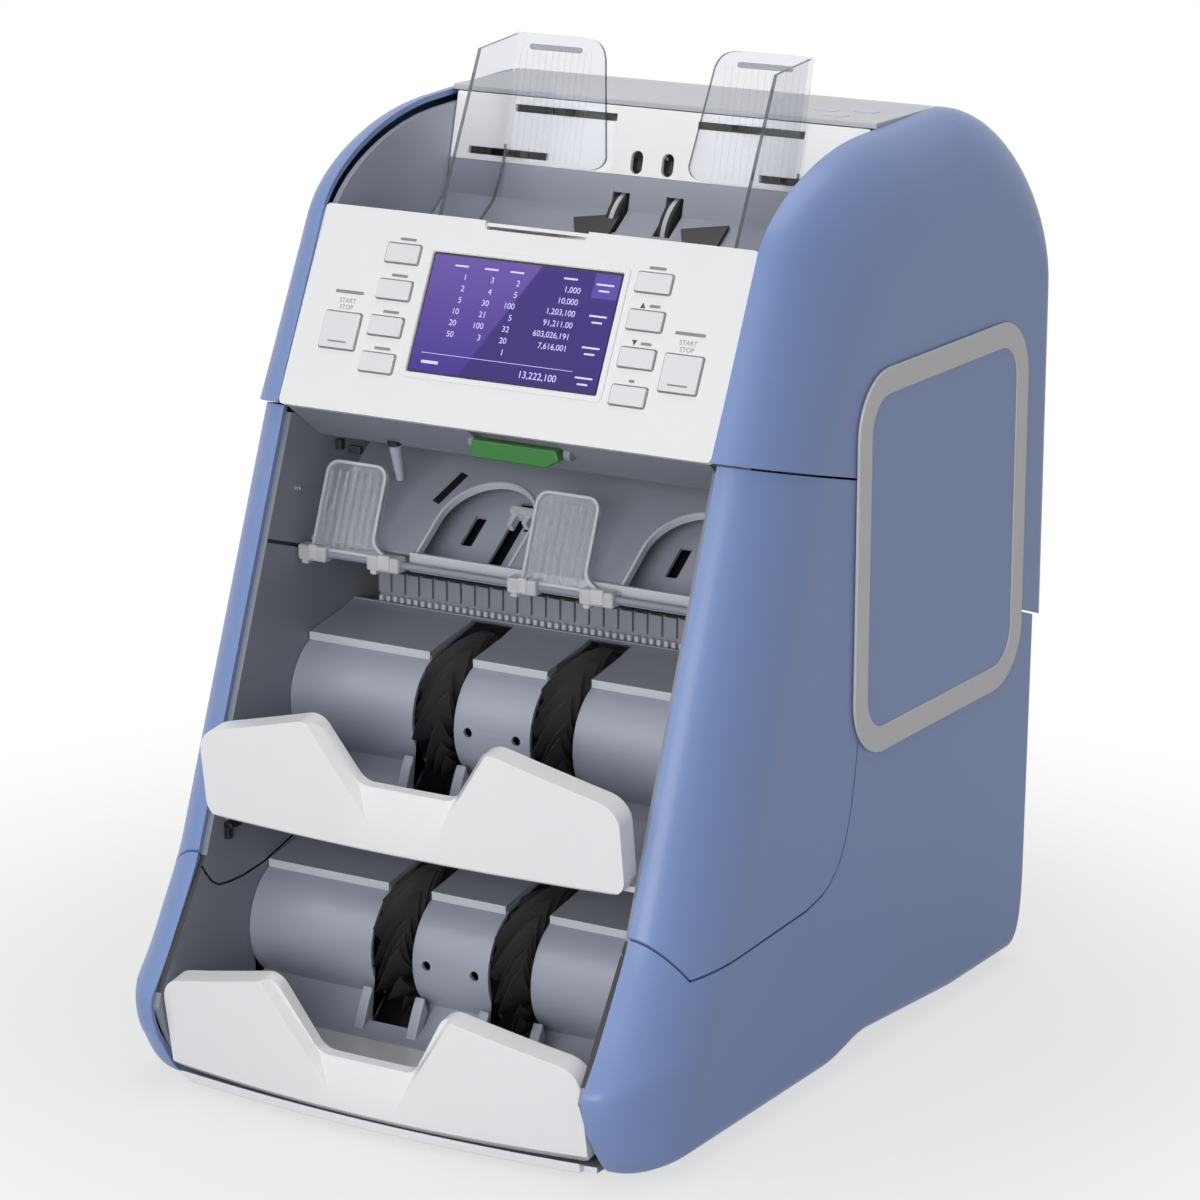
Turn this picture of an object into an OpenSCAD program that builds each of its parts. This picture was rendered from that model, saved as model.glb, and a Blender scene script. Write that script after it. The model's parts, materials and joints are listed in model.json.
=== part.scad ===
// Banknote counting machine with two stacker pockets and a reject pocket.
// X runs across the machine, -Y is the front, +Z is up.
// The origin is on the table, below the centre of the overall box.

/* [Body] */
// Overall width, across the two hatch rings
body_w = 320; // [306:2:340]
// Overall depth, from the lower tray to the back of the head
body_d = 442; // [436:1:460]
// Height of the top cover above the table
cover_z = 474; // [468:1:490]
// How far each side cover bulges out from its side frame
bulge = 32; // [26:1:36]
// Depth of the rounding around the edge of a side cover
edge_round = 48; // [40:1:56]
// Wall of the moulded covers
shell_t = 3; // [2.4:0.2:4]
// Thickness of the steel side frames
frame_t = 3.2; // [2:0.2:4]
// Lean of the front edge of the side covers, from upright
front_lean = 20.65; // [18:0.05:23]
// Gap in the seams between covers
seam_gap = 1.2; // [0.8:0.1:2]

/* [Head] */
// Height of the control panel, measured along its slope
panel_h = 105.9; // [100:0.1:112]
// Lean of the control panel, from upright
panel_lean = 25.7; // [22:0.1:28]
// Thickness of the control panel
panel_t = 4; // [3:0.2:5]
// Height of the control panel's lower edge above the table
panel_z = 333; // [328:1:338]
// Width of the screen
screen_w = 110.7; // [100:0.1:115]
// Height of the screen
screen_h = 62.3; // [56:0.1:66]
// Lean of the hopper's back wall, from upright
hopper_lean = 13.7; // [10:0.1:16]
// Height of the hopper's back wall, along its slope
hopper_h = 35.5; // [34:0.1:38]
// Distance from the top cover's front edge to its rear arc
cover_l = 68; // [60:1:76]
// Radius of the arc from the top cover to the back
back_r = 96; // [88:1:100]
// Radius of the hinge pins at the back of the head
hinge_r = 3; // [2.5:0.1:4]

/* [Keys] */
// Width of a small key
key_w = 19.3; // [16:0.1:20]
// Height of a small key
key_h = 9.5; // [8:0.1:10.5]
// Width of a start key
start_w = 20.8; // [18:0.1:22]
// Height of a start key
start_h = 18.5; // [16:0.1:20]
// Distance between small keys in a column
key_pitch = 19; // [17:0.1:20]
// How far a key stands out of the panel
key_proud = 1.4; // [1.2:0.1:2]
// How far a key can be pressed
key_travel = 0.8; // [0.5:0.1:1]

/* [Hopper guides] */
// Distance from the centre to the inner face of a guide's side plate
guide_x = 86; // [82:1:90]
// Height of a guide, along the slope of the hopper wall
guide_h = 68; // [60:1:72]
// Thickness of the clear guide plates
guide_t = 2; // [1.6:0.1:2.4]
// Number of ribs on a guide's back plate
guide_ribs = 12; // [8:1:12]
// Number of teeth on the guide pinion
pinion_teeth = 12; // [10:1:14]
// Module of the guide pinion and its racks
rack_module = 1.5; // [1.4:0.05:1.55]

/* [Stackers] */
// Outer radius of a stacker wheel
wheel_r = 46; // [43:0.5:47]
// Width of a stacker wheel
wheel_w = 20; // [16:0.5:22]
// Distance from the centre to the middle of a stacker wheel
wheel_x = 35; // [32:0.5:38]
// Number of fins on a stacker wheel
wheel_fins = 14; // [10:1:16]
// Radius of the curved drum covers
drum_r = 32; // [30:0.5:34]
// Radius of the stacker shafts
shaft_r = 4; // [3:0.5:5]
// Thickness of the drum covers and deck plates
plate_t = 2.4; // [2:0.1:3]
// Gap between a tray's end and the side frame
tray_gap = 0.8; // [0.4:0.1:4]
// Thickness of a tray's front wall
tray_t = 12; // [9:0.5:14]
// Thickness of a tray's floor
floor_t = 3; // [2.4:0.1:4]

/* [Reject pocket] */
// Width of a clear flap
flap_w = 37; // [34:1:40]
// Height of a clear flap above its rod
flap_h = 46; // [40:1:50]
// Radius of the rod that the flaps hang on
rod_r = 2; // [1.5:0.1:2.5]
// Distance between the ribs of the comb guide
comb_pitch = 6; // [5:0.5:8]

/* [Hidden] */

// Clearances
fit_gap = 0.3;
run_gap = 0.05;
key_gap = 0.35;
ring_proud = 2;
far = 600;

// Planes across the machine
frame_x = body_w / 2 - ring_proud - bulge;
frame_in = frame_x - frame_t;
inner_x = frame_in - fit_gap;
cover_x = frame_x + bulge;
front_y = -body_d / 2;
back_y = body_d / 2;

// Profile of the lower body
foot_z = 3.5;
shell_z = 1.5;
sill_y = front_y + 48.5;
sill_z = 116;
low_back_y = back_y - 12;
nose_r = 44;
nose_z = nose_r + 2;
bottom_cut = 20;

function front_at(z) = sill_y + (z - sill_z) * tan(front_lean);
function arc(c, rx, ry, from, to, n = 10) =
    [for (i = [0 : n]) let (a = from + (to - from) * i / n) [c[0] + rx * cos(a), c[1] + ry * sin(a)]];
function bezier(a, b, c, d, n = 10) =
    [for (i = [0 : n]) let (t = i / n, u = 1 - t)
        u * u * u * a + 3 * u * u * t * b + 3 * u * t * t * c + t * t * t * d];

// Profile of the head
panel_foot = [front_y + 123.5, panel_z];
panel_dir = [sin(panel_lean), cos(panel_lean)];
panel_top = panel_foot + panel_h * panel_dir;
arc_centre = [back_y - back_r, cover_z - back_r];
cover_front = [arc_centre[0] - cover_l + 10, cover_z - 3];
hopper_foot = cover_front - hopper_h * [sin(hopper_lean), cos(hopper_lean)];
crest = cover_front - [21.6, 0.5];

// Seams, as points in the side view
seam_front = [sill_y, sill_z];
seam_v = [sill_y + 14, sill_z - 21];
seam_knee = [sill_y + 126, sill_z - 14];
seam_rise = [sill_y + 170, sill_z + 56];
ring_y0 = sill_y + 163;
ring_y1 = ring_y0 + 189;
ring_z0 = 164;
ring_z1 = 362;
ring_band = 13.5;
ring_corner = 32;
hidden_y = ring_y0 + 13;
head_seam_front = [panel_foot[0] - 100, panel_foot[1] + 24];
head_seam_mid = [hidden_y, panel_foot[1] - 25];
head_seam_back = [back_y - 39, 200];
hinge_y = low_back_y - 4;
hinge_z = 194;
lip_r = 30;
grip_front = sill_y + 156;
grip_back = grip_front + 129;
grip_h = 7;
grip_recess = [[grip_back, shell_z], [grip_back - 23, shell_z + 2], [grip_front + 24, shell_z + grip_h],
    [grip_front, shell_z]];
lip_centre = [back_y - lip_r, head_seam_back[1] + 21];

// Stacker axes and decks
upper_axis = [sill_y + 109, 176];
lower_axis = [sill_y + 69.5, 64];
slot_r = wheel_r + 2;
slot_w = wheel_w + 5;
flare = 46;
pocket_drop = 39;
deck_slope = 14.5;
deck_l = 44;
deck_start = [-13, drum_r - 3.6];

// Trays
tray_x = frame_in - tray_gap;
upper_tray_y = sill_y - 2;
upper_tray_z = 134;
lower_tray_y = sill_y - 37.68;
lower_tray_z = 6;

// Reject pocket
rod_y = sill_y + 88.5;
rod_z = 254;
bar_h = 10;

// Drive, between the right frame and the right cover
motor_axis = [sill_y + 172, 84];
pulley_x = frame_x + 2;
pulley_w = 7;
belt_t = 1.5;
bush_wall = 1.6;
feed_axis = [hopper_foot[0] + 7.8, cover_z - 70];
feed_r = 24;

blue = [0.45, 0.54, 0.76];
panel_white = [0.95, 0.95, 0.95];
inner_gray = [0.5, 0.52, 0.58];
cover_gray = [0.78, 0.78, 0.8];
ring_gray = [0.64, 0.63, 0.62];
clear = [0.8, 0.85, 0.9, 0.4];
steel = [0.75, 0.76, 0.78];
black = [0.1, 0.1, 0.1];
green = [0.2, 0.52, 0.2];

// Extrudes a side-view outline from x0 to x1
module side_plate(x0, x1)
    translate([x0, 0, 0]) rotate([90, 0, 90]) linear_extrude(x1 - x0) children();

module rod_x(at, r, x0, x1, sides = 48)
    translate([x0, at[0], at[1]]) rotate([0, 90, 0]) cylinder(h = x1 - x0, r = r, $fn = sides);

module on_panel()
    translate([0, panel_foot[0], panel_foot[1]]) rotate([-panel_lean, 0, 0]) children();

module on_hopper()
    translate([0, hopper_foot[0], hopper_foot[1]]) rotate([-hopper_lean, 0, 0]) children();

// Box with rounded corners in the X-Z plane, from y0 to y1
module slab(x0, x1, z0, z1, r, y0, y1)
    translate([0, y1, 0]) rotate([90, 0, 0]) linear_extrude(y1 - y0)
        translate([x0 + r, z0 + r]) offset_box(x1 - x0 - 2 * r, z1 - z0 - 2 * r, r);

module offset_box(w, h, r) {
    translate([0, -r]) square([w, h + 2 * r]);
    translate([-r, 0]) square([w + 2 * r, h]);
    for (x = [0, w], y = [0, h]) translate([x, y]) circle(r, $fn = 32);
}

// ---- Side covers -------------------------------------------------------

module low_outline()
    polygon([[sill_y + 40, -bottom_cut], [low_back_y, -bottom_cut], [low_back_y, far],
        [front_at(far), far], [front_at(sill_z - 36), sill_z - 36]]);

module nose_outline()
    polygon(concat(
        [[seam_knee[0] + 90, -bottom_cut]],
        arc([sill_y, nose_z], nose_r, nose_r + bottom_cut, 270, 180, 8),
        [[sill_y - nose_r + 3, nose_z + 8], seam_front, [seam_knee[0] + 90, seam_front[1] + 110]]));

module head_outline()
    polygon(concat(
        [panel_foot - 150 * panel_dir],
        bezier(panel_top + [-3, -2], panel_top + [8, 19], [crest[0] - 47, crest[1] - 3], crest),
        [[arc_centre[0], cover_z]],
        arc(arc_centre, back_r, back_r, 90, 0, 12),
        [[back_y, 120], [back_y - 60, 120]]));

// Rounded outer form: slices of an outline that shrink towards the outside
module bulged(depth, inset) {
    steps = 6;
    for (i = [0 : steps - 1]) hull() for (k = [i, i + 1]) {
        a = 90 * k / steps;
        side_plate(frame_x + depth * sin(a), frame_x + depth * sin(a) + 0.01)
            offset(delta = -inset - edge_round * (1 - cos(a))) children();
    }
}

module hollow_form() {
    difference() {
        union() {
            bulged(bulge, 0) children(0);
            if ($children > 1) bulged(bulge, 0) children(1);
        }
        intersection() {
            translate([-0.02, 0, 0]) {
                bulged(bulge - 2 * shell_t, shell_t) children(0);
                if ($children > 1) bulged(bulge - 2 * shell_t, shell_t) children(1);
            }
            translate([0, -far, shell_z + grip_h + shell_t]) cube(2 * far);
        }
    }
}

low_seam = concat([seam_front + [-20, 30], seam_front, seam_v, seam_knee],
    bezier(seam_knee, seam_knee + [34, 4], seam_rise + [-6, -34], seam_rise, 6),
    [[hidden_y, seam_rise[1] + 30]]);
high_seam = [head_seam_mid, head_seam_front];
back_seam = concat([head_seam_back], [[low_back_y, head_seam_back[1] - 9]],
    arc(lip_centre, lip_r, lip_r, -54, 0, 4), [[far, lip_centre[1]]]);

module cover_region()
    offset(delta = -seam_gap / 2) polygon(concat(low_seam, high_seam));

module base_region() difference() {
    offset(delta = -seam_gap / 2) polygon(concat([[-far, shell_z], [-far, seam_front[1] + 30]],
        low_seam, [head_seam_mid], back_seam, [[far, shell_z]], grip_recess));
    translate([hinge_y, hinge_z]) circle(hinge_ear_r - 1, $fn = 32);
}

module head_region()
    offset(delta = -seam_gap / 2) polygon(concat([[-far, far], head_seam_front + [-far, 138]],
        [head_seam_front, head_seam_mid], back_seam, [[far, far]]));

module side_shell() {
    intersection() {
        hollow_form() { low_outline(); nose_outline(); }
        side_plate(frame_x, far) base_region();
    }
}

module front_cover() {
    intersection() {
        hollow_form() low_outline();
        side_plate(frame_x, far) cover_region();
    }
}

module head_shell() {
    intersection() {
        hollow_form() head_outline();
        side_plate(frame_x, far) head_region();
    }
}

module both_sides() {
    children();
    mirror([1, 0, 0]) children();
}

module ring_shape(inset)
    translate([ring_y0 + ring_corner, ring_z0 + ring_corner])
        offset_box(ring_y1 - ring_y0 - 2 * ring_corner, ring_z1 - ring_z0 - 2 * ring_corner,
            ring_corner - inset);

module hatch_rings() color(ring_gray) both_sides()
    side_plate(cover_x + fit_gap, cover_x + ring_proud) difference() {
        ring_shape(0);
        ring_shape(ring_band);
    }

module hatches() color(blue) both_sides()
    side_plate(cover_x + fit_gap, cover_x + ring_proud - 0.6) ring_shape(ring_band);

// ---- Frames and base ---------------------------------------------------

module base_pan() color(inner_gray) {
    difference() {
        union() {
            translate([-frame_in, sill_y + 6, foot_z]) cube([2 * frame_in, low_back_y - sill_y - 9, floor_t]);
            intersection() {
                translate([-frame_in, lower_tray_y - 6, foot_z])
                    cube([2 * frame_in, sill_y + 12 - lower_tray_y, floor_t]);
                translate([0, lower_tray_y + 6 + lower_bend_r, 0]) cylinder(h = 40, r = lower_bend_r, $fn = 180);
            }
        }
        for (x = [-1, 1], y = feet_y) translate([x * feet_x, y, 0]) cylinder(h = 40, r = foot_hole_r, $fn = 32);
    }
}
lower_bend_r = 890;
upper_bend_r = 1400;
feet_x = frame_in - 22;
feet_y = [sill_y + 30, low_back_y - 30];
foot_r = 9;
foot_hole_r = 2.5;

module rubber_feet() color(black)
    for (x = [-1, 1], y = feet_y) translate([x * feet_x, y, 0]) {
        cylinder(h = foot_z, r = foot_r, $fn = 48);
        cylinder(h = foot_z + floor_t, r = foot_hole_r, $fn = 32);
    }

// Side view of the fixed side frame
module fixed_frame_outline() difference() {
    intersection() {
        offset(delta = -shell_t) union() {
            low_outline();
            nose_outline();
        }
        polygon([[sill_y - 8, foot_z], [sill_y - 25, 14], [sill_y - 35, 32], [sill_y - 40, 44], [-far, 44],
            [-far, head_seam_front[1]], head_seam_front + [0, -4], head_seam_mid + [0, -4],
            head_seam_back + [0, -4], [low_back_y - rear_t - fit_gap, head_seam_back[1] - 13],
            [low_back_y - rear_t - fit_gap, foot_z]]);
    }
    translate([hinge_y, hinge_z]) circle(hinge_ear_r + 2, $fn = 48);
}
hinge_ear_r = 8;

module frame_holes() {
    rod_x(upper_axis, shaft_r + bush_wall, -far, far);
    rod_x(lower_axis, shaft_r + bush_wall, -far, far);
}

module side_frame_right() color(inner_gray) difference() {
    side_plate(frame_in, frame_x) fixed_frame_outline();
    frame_holes();
    rod_x(motor_axis, motor_boss_r + 0.1, 0, far);
}

module side_frame_left() color(inner_gray) difference() {
    mirror([1, 0, 0]) side_plate(frame_in, frame_x) fixed_frame_outline();
    frame_holes();
}

module shaft_bushes() color([0.7, 0.55, 0.3])
    for (at = [upper_axis, lower_axis], x = [-frame_x, frame_in]) difference() {
        rod_x(at, shaft_r + bush_wall, x, x + frame_t);
        rod_x(at, shaft_r + run_gap, x - 1, x + frame_t + 1);
    }

module rear_cover() color(cover_gray) difference() {
    translate([-frame_x, low_back_y - rear_t, foot_z]) cube([2 * frame_x, rear_t, hinge_z - 4 - foot_z]);
    both_sides() translate([frame_in - 8, low_back_y - 4, hinge_z - hinge_ear_r - 2]) cube([20, 8, 20]);
    translate([inlet_x - inlet_w / 2, low_back_y - 4, inlet_z - inlet_h / 2]) cube([inlet_w, 5, inlet_h]);
    translate([switch_x - switch_w / 2, low_back_y - 4, inlet_z - switch_h / 2]) cube([switch_w, 5, switch_h]);
    for (i = [0 : vent_count - 1]) translate([vent_x, low_back_y - 4, vent_z + i * vent_pitch])
        cube([vent_w, 5, vent_pitch / 2]);
}
rear_t = 3;
inlet_x = -70;
inlet_z = 42;
inlet_w = 28;
inlet_h = 20;
switch_x = -36;
switch_w = 14;
switch_h = 20;
vent_count = 8;
vent_x = 24;
vent_w = 70;
vent_z = 60;
vent_pitch = 8;

module power_inlet() color(black) difference() {
    union() {
        translate([inlet_x - inlet_w / 2, low_back_y - 22, inlet_z - inlet_h / 2]) cube([inlet_w, 22, inlet_h]);
        translate([inlet_x - inlet_w / 2 - 4, low_back_y, inlet_z - inlet_h / 2 - 3]) cube([inlet_w + 8, 2, inlet_h + 6]);
        translate([switch_x - switch_w / 2, low_back_y - 14, inlet_z - switch_h / 2]) cube([switch_w, 14, switch_h]);
        translate([switch_x - switch_w / 2 - 2, low_back_y, inlet_z - switch_h / 2 - 2]) cube([switch_w + 4, 1.2, switch_h + 4]);
    }
    translate([switch_x - switch_w / 2 + switch_wall, low_back_y - 12, inlet_z - switch_h / 2 + switch_wall])
        cube([switch_w - 2 * switch_wall, 20, switch_h - 2 * switch_wall]);
    rod_x(switch_at, switch_pin_r + run_gap, switch_x - switch_w / 2, switch_x + switch_w / 2, 24);
    translate([inlet_x - 11, low_back_y - 15, inlet_z - 7]) cube([22, 30, 14]);
}

// Rocker in its housing, at rest tipped to one side
module rocker_switch() color(black) {
    rod_x(switch_at, switch_pin_r, switch_x - switch_w / 2 + 0.2, switch_x + switch_w / 2 - 0.2, 24);
    side_plate(switch_x - switch_w / 2 + switch_wall + fit_gap, switch_x + switch_w / 2 - switch_wall - fit_gap)
        translate(switch_at) rotate(-switch_tip) polygon([[-4, -5], [5.6, -8], [4.2, 0], [5.6, 8], [-4, 5]]);
}
switch_at = [low_back_y - 3, inlet_z];
switch_pin_r = 1;
switch_wall = 1;
switch_tip = 8;

module hinge_brackets() color(steel) both_sides() {
    side_plate(frame_in - bracket_t, frame_in) {
        translate([hinge_y, hinge_z]) circle(hinge_r + 3, $fn = 32);
        polygon([[hinge_y - hinge_r - 3, hinge_z], [hinge_y + hinge_r, hinge_z - 5.2],
            [hinge_y + 0.6, hinge_z - hinge_ear_r - 1.5], [hinge_y + 0.6, hinge_z - bracket_h],
            [hinge_y - bracket_h / 2, hinge_z - bracket_h], [hinge_y - bracket_h / 2, hinge_z - 40]]);
    }
    rod_x([hinge_y, hinge_z], hinge_r, frame_in - bracket_t, frame_x - 0.2);
}
bracket_t = 4;
bracket_h = 60;

// ---- Stackers ----------------------------------------------------------

// Side view of a drum cover: an arc around the shaft that flows into the pocket floor
module drum_outline(reach) {
    low = 232;
    outer = concat(arc([0, 0], drum_r, drum_r, 115, low, 18),
        bezier(drum_r * [cos(low), sin(low)], [-drum_r * 0.86, -drum_r * 0.98],
            [-drum_r * 1.1, -drum_r * 1.16], [-reach, -pocket_drop], 8));
    inner = concat(arc([0, 0], drum_r - plate_t, drum_r - plate_t, 115, low, 18),
        bezier((drum_r - plate_t) * [cos(low), sin(low)], [-drum_r * 0.76, -drum_r * 1.03],
            [-drum_r * 1.0, -drum_r * 1.22], [-reach, -pocket_drop - plate_t], 8));
    polygon(concat(outer, [for (i = [len(inner) - 1 : -1 : 0]) inner[i]]));
}

module wheel_slots(axis)
    for (x = [-wheel_x, wheel_x]) rod_x(axis, slot_r, x - slot_w / 2, x + slot_w / 2, 96);

module drum(axis, reach) color(inner_gray) difference() {
    side_plate(-inner_x, inner_x) translate(axis) drum_outline(reach);
    wheel_slots(axis);
    for (x = [-14.3, 14.3]) translate([x, axis[0], axis[1]]) rotate([90, 0, 0]) cylinder(h = 60, r = 2.5, $fn = 32);
}

module upper_drum() drum(upper_axis, flare);
module lower_drum() drum(lower_axis, flare);

// Deck plate that covers the top of a drum and rises towards the back
module deck(axis, wall) color(inner_gray) difference() {
    translate([0, axis[0] + deck_start[0], axis[1] + deck_start[1]]) {
        rotate([deck_slope, 0, 0]) translate([-inner_x, 0, 0]) cube([2 * inner_x, deck_l, plate_t]);
        translate([-inner_x, deck_l * cos(deck_slope) - plate_t, deck_l * sin(deck_slope)])
            cube([2 * inner_x, plate_t, plate_t + wall]);
    }
    wheel_slots(axis);
}
module upper_deck() deck(upper_axis, 0);
module lower_deck() deck(lower_axis, 22);

// Curved, finned rubber wheel on the X axis
module fin_wheel() {
    hub_r = 14;
    sweep = 34;
    rotate([90, 0, 90]) translate([0, 0, -wheel_w / 2]) linear_extrude(wheel_w) difference() {
        union() {
            circle(hub_r, $fn = 48);
            for (i = [0 : wheel_fins - 1]) rotate(i * 360 / wheel_fins) polygon(concat(
                [for (k = [0 : 4]) let (r = hub_r - 2 + (wheel_r - hub_r + 2) * k / 4, a = sweep * k / 4)
                    r * [cos(a), -sin(a)]],
                [for (k = [3 : -1 : 0]) let (r = hub_r - 2 + (wheel_r - hub_r + 2) * k / 4, a = sweep * k / 4 - 11 + 2 * k)
                    r * [cos(a), -sin(a)]]));
        }
        circle(shaft_r, $fn = 48);
    }
}

module wheel_pair(axis) color(black)
    for (x = [-wheel_x, wheel_x]) translate([x, axis[0], axis[1]]) fin_wheel();

module upper_wheels() wheel_pair(upper_axis);
module lower_wheels() wheel_pair(lower_axis);

module belt_pulley(axis, r) {
    rod_x(axis, r, pulley_x, pulley_x + pulley_w);
    for (x = [pulley_x - 1, pulley_x + pulley_w]) rod_x(axis, r + 2.5, x, x + 1);
}

module stacker_shaft(axis, shift) color(steel) {
    rod_x(axis, shaft_r, -frame_x - 1, pulley_x + shift + pulley_w + 1);
    translate([shift, 0, 0]) belt_pulley(axis, pulley_r);
    for (x = [-wheel_x, wheel_x], side = [-1, 1]) rod_x(axis, shaft_r + 3, x + side * (wheel_w / 2 + 2) - 2, x + side * (wheel_w / 2 + 2) + 2);
}
pulley_r = 14;
motor_pulley_r = 9;
second_belt = pulley_w + 3;

module upper_shaft() stacker_shaft(upper_axis, second_belt);
module lower_shaft() stacker_shaft(lower_axis, 0);

module motor_pulley() color(steel) {
    belt_pulley(motor_axis, motor_pulley_r);
    translate([second_belt, 0, 0]) belt_pulley(motor_axis, motor_pulley_r);
    rod_x(motor_axis, 3, frame_in - 10, pulley_x + second_belt + pulley_w + 1);
}
motor_boss_r = 11;

module drive_motor() color(steel) difference() {
    union() {
        rod_x(motor_axis, 27, frame_in - 60, frame_in);
        rod_x(motor_axis, motor_boss_r, frame_in, frame_x);
    }
    rod_x(motor_axis, 3 + run_gap, frame_in - 12, frame_x + 1);
}

// Belt as a closed loop around two pulleys
module belt(a, b, ra, rb, x) side_plate(x + 1, x + pulley_w - 1) difference() {
    hull() {
        translate(a) circle(ra + 0.1 + belt_t, $fn = 48);
        translate(b) circle(rb + 0.1 + belt_t, $fn = 48);
    }
    hull() {
        translate(a) circle(ra + 0.1, $fn = 48);
        translate(b) circle(rb + 0.1, $fn = 48);
    }
}

module drive_belts() color(black) {
    belt(motor_axis, lower_axis, motor_pulley_r, pulley_r, pulley_x);
    belt(motor_axis, upper_axis, motor_pulley_r, pulley_r, pulley_x + second_belt);
}

supply_size = [86, 140, 42];
module power_supply() color(steel) translate([-inner_x + 12, low_back_y - 29 - supply_size[1], foot_z + floor_t])
    cube(supply_size);

board_size = [90, 1.6, 110];
module main_board() color([0.1, 0.35, 0.2]) translate([-10, low_back_y - 40, foot_z + floor_t]) {
    cube(board_size);
    translate([10, -12, 40]) cube([30, 12.5, 30]);
}

// ---- Trays -------------------------------------------------------------

// Corner c of an outline from p to n, rounded over a distance t on both sides
function soft(p, c, n, t) = let (u = (p - c) / norm(p - c), v = (n - c) / norm(n - c))
    bezier(c + t * u, c + 0.45 * t * u, c + 0.45 * t * v, c + t * v, 5);

// Front view of a tray: two wings with a notch between them
module tray_front(h_out, h_in) {
    corners = [[0, notch_h], [notch_x, notch_h], [wing_x, h_in], [tray_x, h_out], [tray_x, 0], [0, 0]];
    cuts = [5, 7, 10, 8];
    right = [for (i = [1 : 4]) each soft(corners[i - 1], corners[i], corners[i + 1], cuts[i - 1])];
    polygon(concat(right, [for (i = [len(right) - 1 : -1 : 0]) [-right[i][0], right[i][1]]]));
}
wing_x = 50;
notch_x = 27.4;
notch_h = 33;
facet_x = 20;
facet_h = 17.5;
facet_depth = 6.5;
tool_h = 120;

// Solid inside a tray's curved front face, with a bevel along its lower edge
module tray_face(bend, bevel) {
    cylinder(h = bevel, r1 = bend - bevel, r2 = bend, $fn = 360);
    translate([0, 0, bevel]) cylinder(h = tool_h, r = bend, $fn = 360);
}

// Space in front of the notch's sloping facet and its flared sides
module notch_cut() hull() {
    translate([0, -1, notch_h - facet_h]) rotate([90, 0, 0]) linear_extrude(0.1)
        polygon([[-facet_x, 0], [facet_x, 0], [facet_x + 41, 60], [-facet_x - 41, 60]]);
    translate([0, facet_depth, notch_h]) rotate([90, 0, 0]) linear_extrude(0.1)
        polygon([[-notch_x, 0], [notch_x, 0], [notch_x + 41, 60], [-notch_x - 41, 60]]);
}

module tray(y, z, bend, h_out, h_in, lean, bevel, floor_z, floor_end) color(panel_white) {
    translate([0, y, z]) rotate([lean, 0, 0]) difference() {
        intersection() {
            rotate([90, 0, 0]) translate([0, 0, -40]) linear_extrude(80) tray_front(h_out, h_in);
            translate([0, bend, 0]) difference() {
                tray_face(bend, bevel);
                translate([0, 0, -1]) cylinder(h = tool_h + bevel + 2, r = bend - tray_t, $fn = 360);
            }
        }
        notch_cut();
    }
    difference() {
        translate([-tray_x, y, floor_z - floor_t]) cube([2 * tray_x, floor_end - y, floor_t]);
        translate([0, y, z]) rotate([lean, 0, 0]) translate([0, bend, -20]) difference() {
            translate([-far, -far - bend, -1]) cube([2 * far, far + bend, tool_h - 1]);
            cylinder(h = tool_h, r = bend - tray_t + 1, $fn = 360);
        }
    }
}

module upper_tray() tray(upper_tray_y, upper_tray_z, upper_bend_r, 46, 66, 8.4, 1.5,
    upper_axis[1] - pocket_drop, upper_axis[0] - flare - fit_gap);
module lower_tray() tray(lower_tray_y, lower_tray_z, lower_bend_r, 53, 71, 10.4, 7,
    lower_axis[1] - pocket_drop, lower_axis[0] - flare - fit_gap);

// ---- Reject pocket -----------------------------------------------------

module reject_bar() color(cover_gray) {
    translate([-bar_x, rod_y + rod_r + 2.5, rod_z - 4]) cube([bar_x + frame_in, plate_t, bar_h]);
    rod_x([rod_y, rod_z], rod_r, -frame_in, frame_in, 32);
}
bar_x = 59;

plate_slope = 36;
plate_l = 84;
arch_x = [-30, 91];
arch_r = 27;
module on_reject() translate([0, rod_y + 10, rod_z + 2]) rotate([plate_slope, 0, 0]) children();

module reject_plate() color(inner_gray) on_reject() difference() {
    translate([-inner_x, 0, 0]) cube([2 * inner_x, plate_l, plate_t]);
    for (x = arch_x) translate([x, arch_r - 1, -1]) {
        cylinder(h = 10, r = arch_r, $fn = 64);
        translate([-arch_r, -2 * arch_r, 0]) cube([2 * arch_r, 2 * arch_r, 10]);
    }
}

module comb_guide() color(inner_gray) {
    translate([-comb_x, comb_y, comb_z]) cube([comb_x + frame_in, 3, comb_h]);
    for (x = [-comb_x + 1 : comb_pitch : frame_in - 3]) translate([x, comb_y - 3, comb_z]) cube([1.6, 3.5, comb_h]);
}
comb_x = 110;
comb_y = upper_axis[0] + deck_start[0] + deck_l * cos(deck_slope) + 3 + fit_gap;
comb_z = upper_axis[1] + 39;
comb_h = 18;

// Clear flap with two clips that turn on the rod, from its left edge
module flap(x) color(clear) difference() {
    union() {
        for (clip = clips) rod_x([rod_y, rod_z], rod_r + 2, x + clip[0], x + clip[1], 32);
        rod_x([rod_y, rod_z], rod_r + 1.4, x, x + clips[1][0] + 1, 32);
        translate([x, rod_y, rod_z]) rotate([-flap_lean, 0, 0]) {
            slab(0, flap_w, -2, flap_h, 4, -1, 0.6);
            for (i = [0 : 6]) translate([1 + i * (flap_w - 3.6) / 6, -2.6, 5]) cube([1.6, 2, flap_h - 7]);
        }
    }
    rod_x([rod_y, rod_z], rod_r + run_gap, -far, far, 32);
}
clips = [[-6, 11], [36, 55.5]];
flap_lean = 21;
module flap_left() flap(-115.5);
module flap_right() flap(10.5);

// ---- Head --------------------------------------------------------------

function key_row(i) = 84 - key_pitch * (i - 1);
key_x = 73;
start_x = 99;
start_row = 41;
screen_row = 25;

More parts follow.
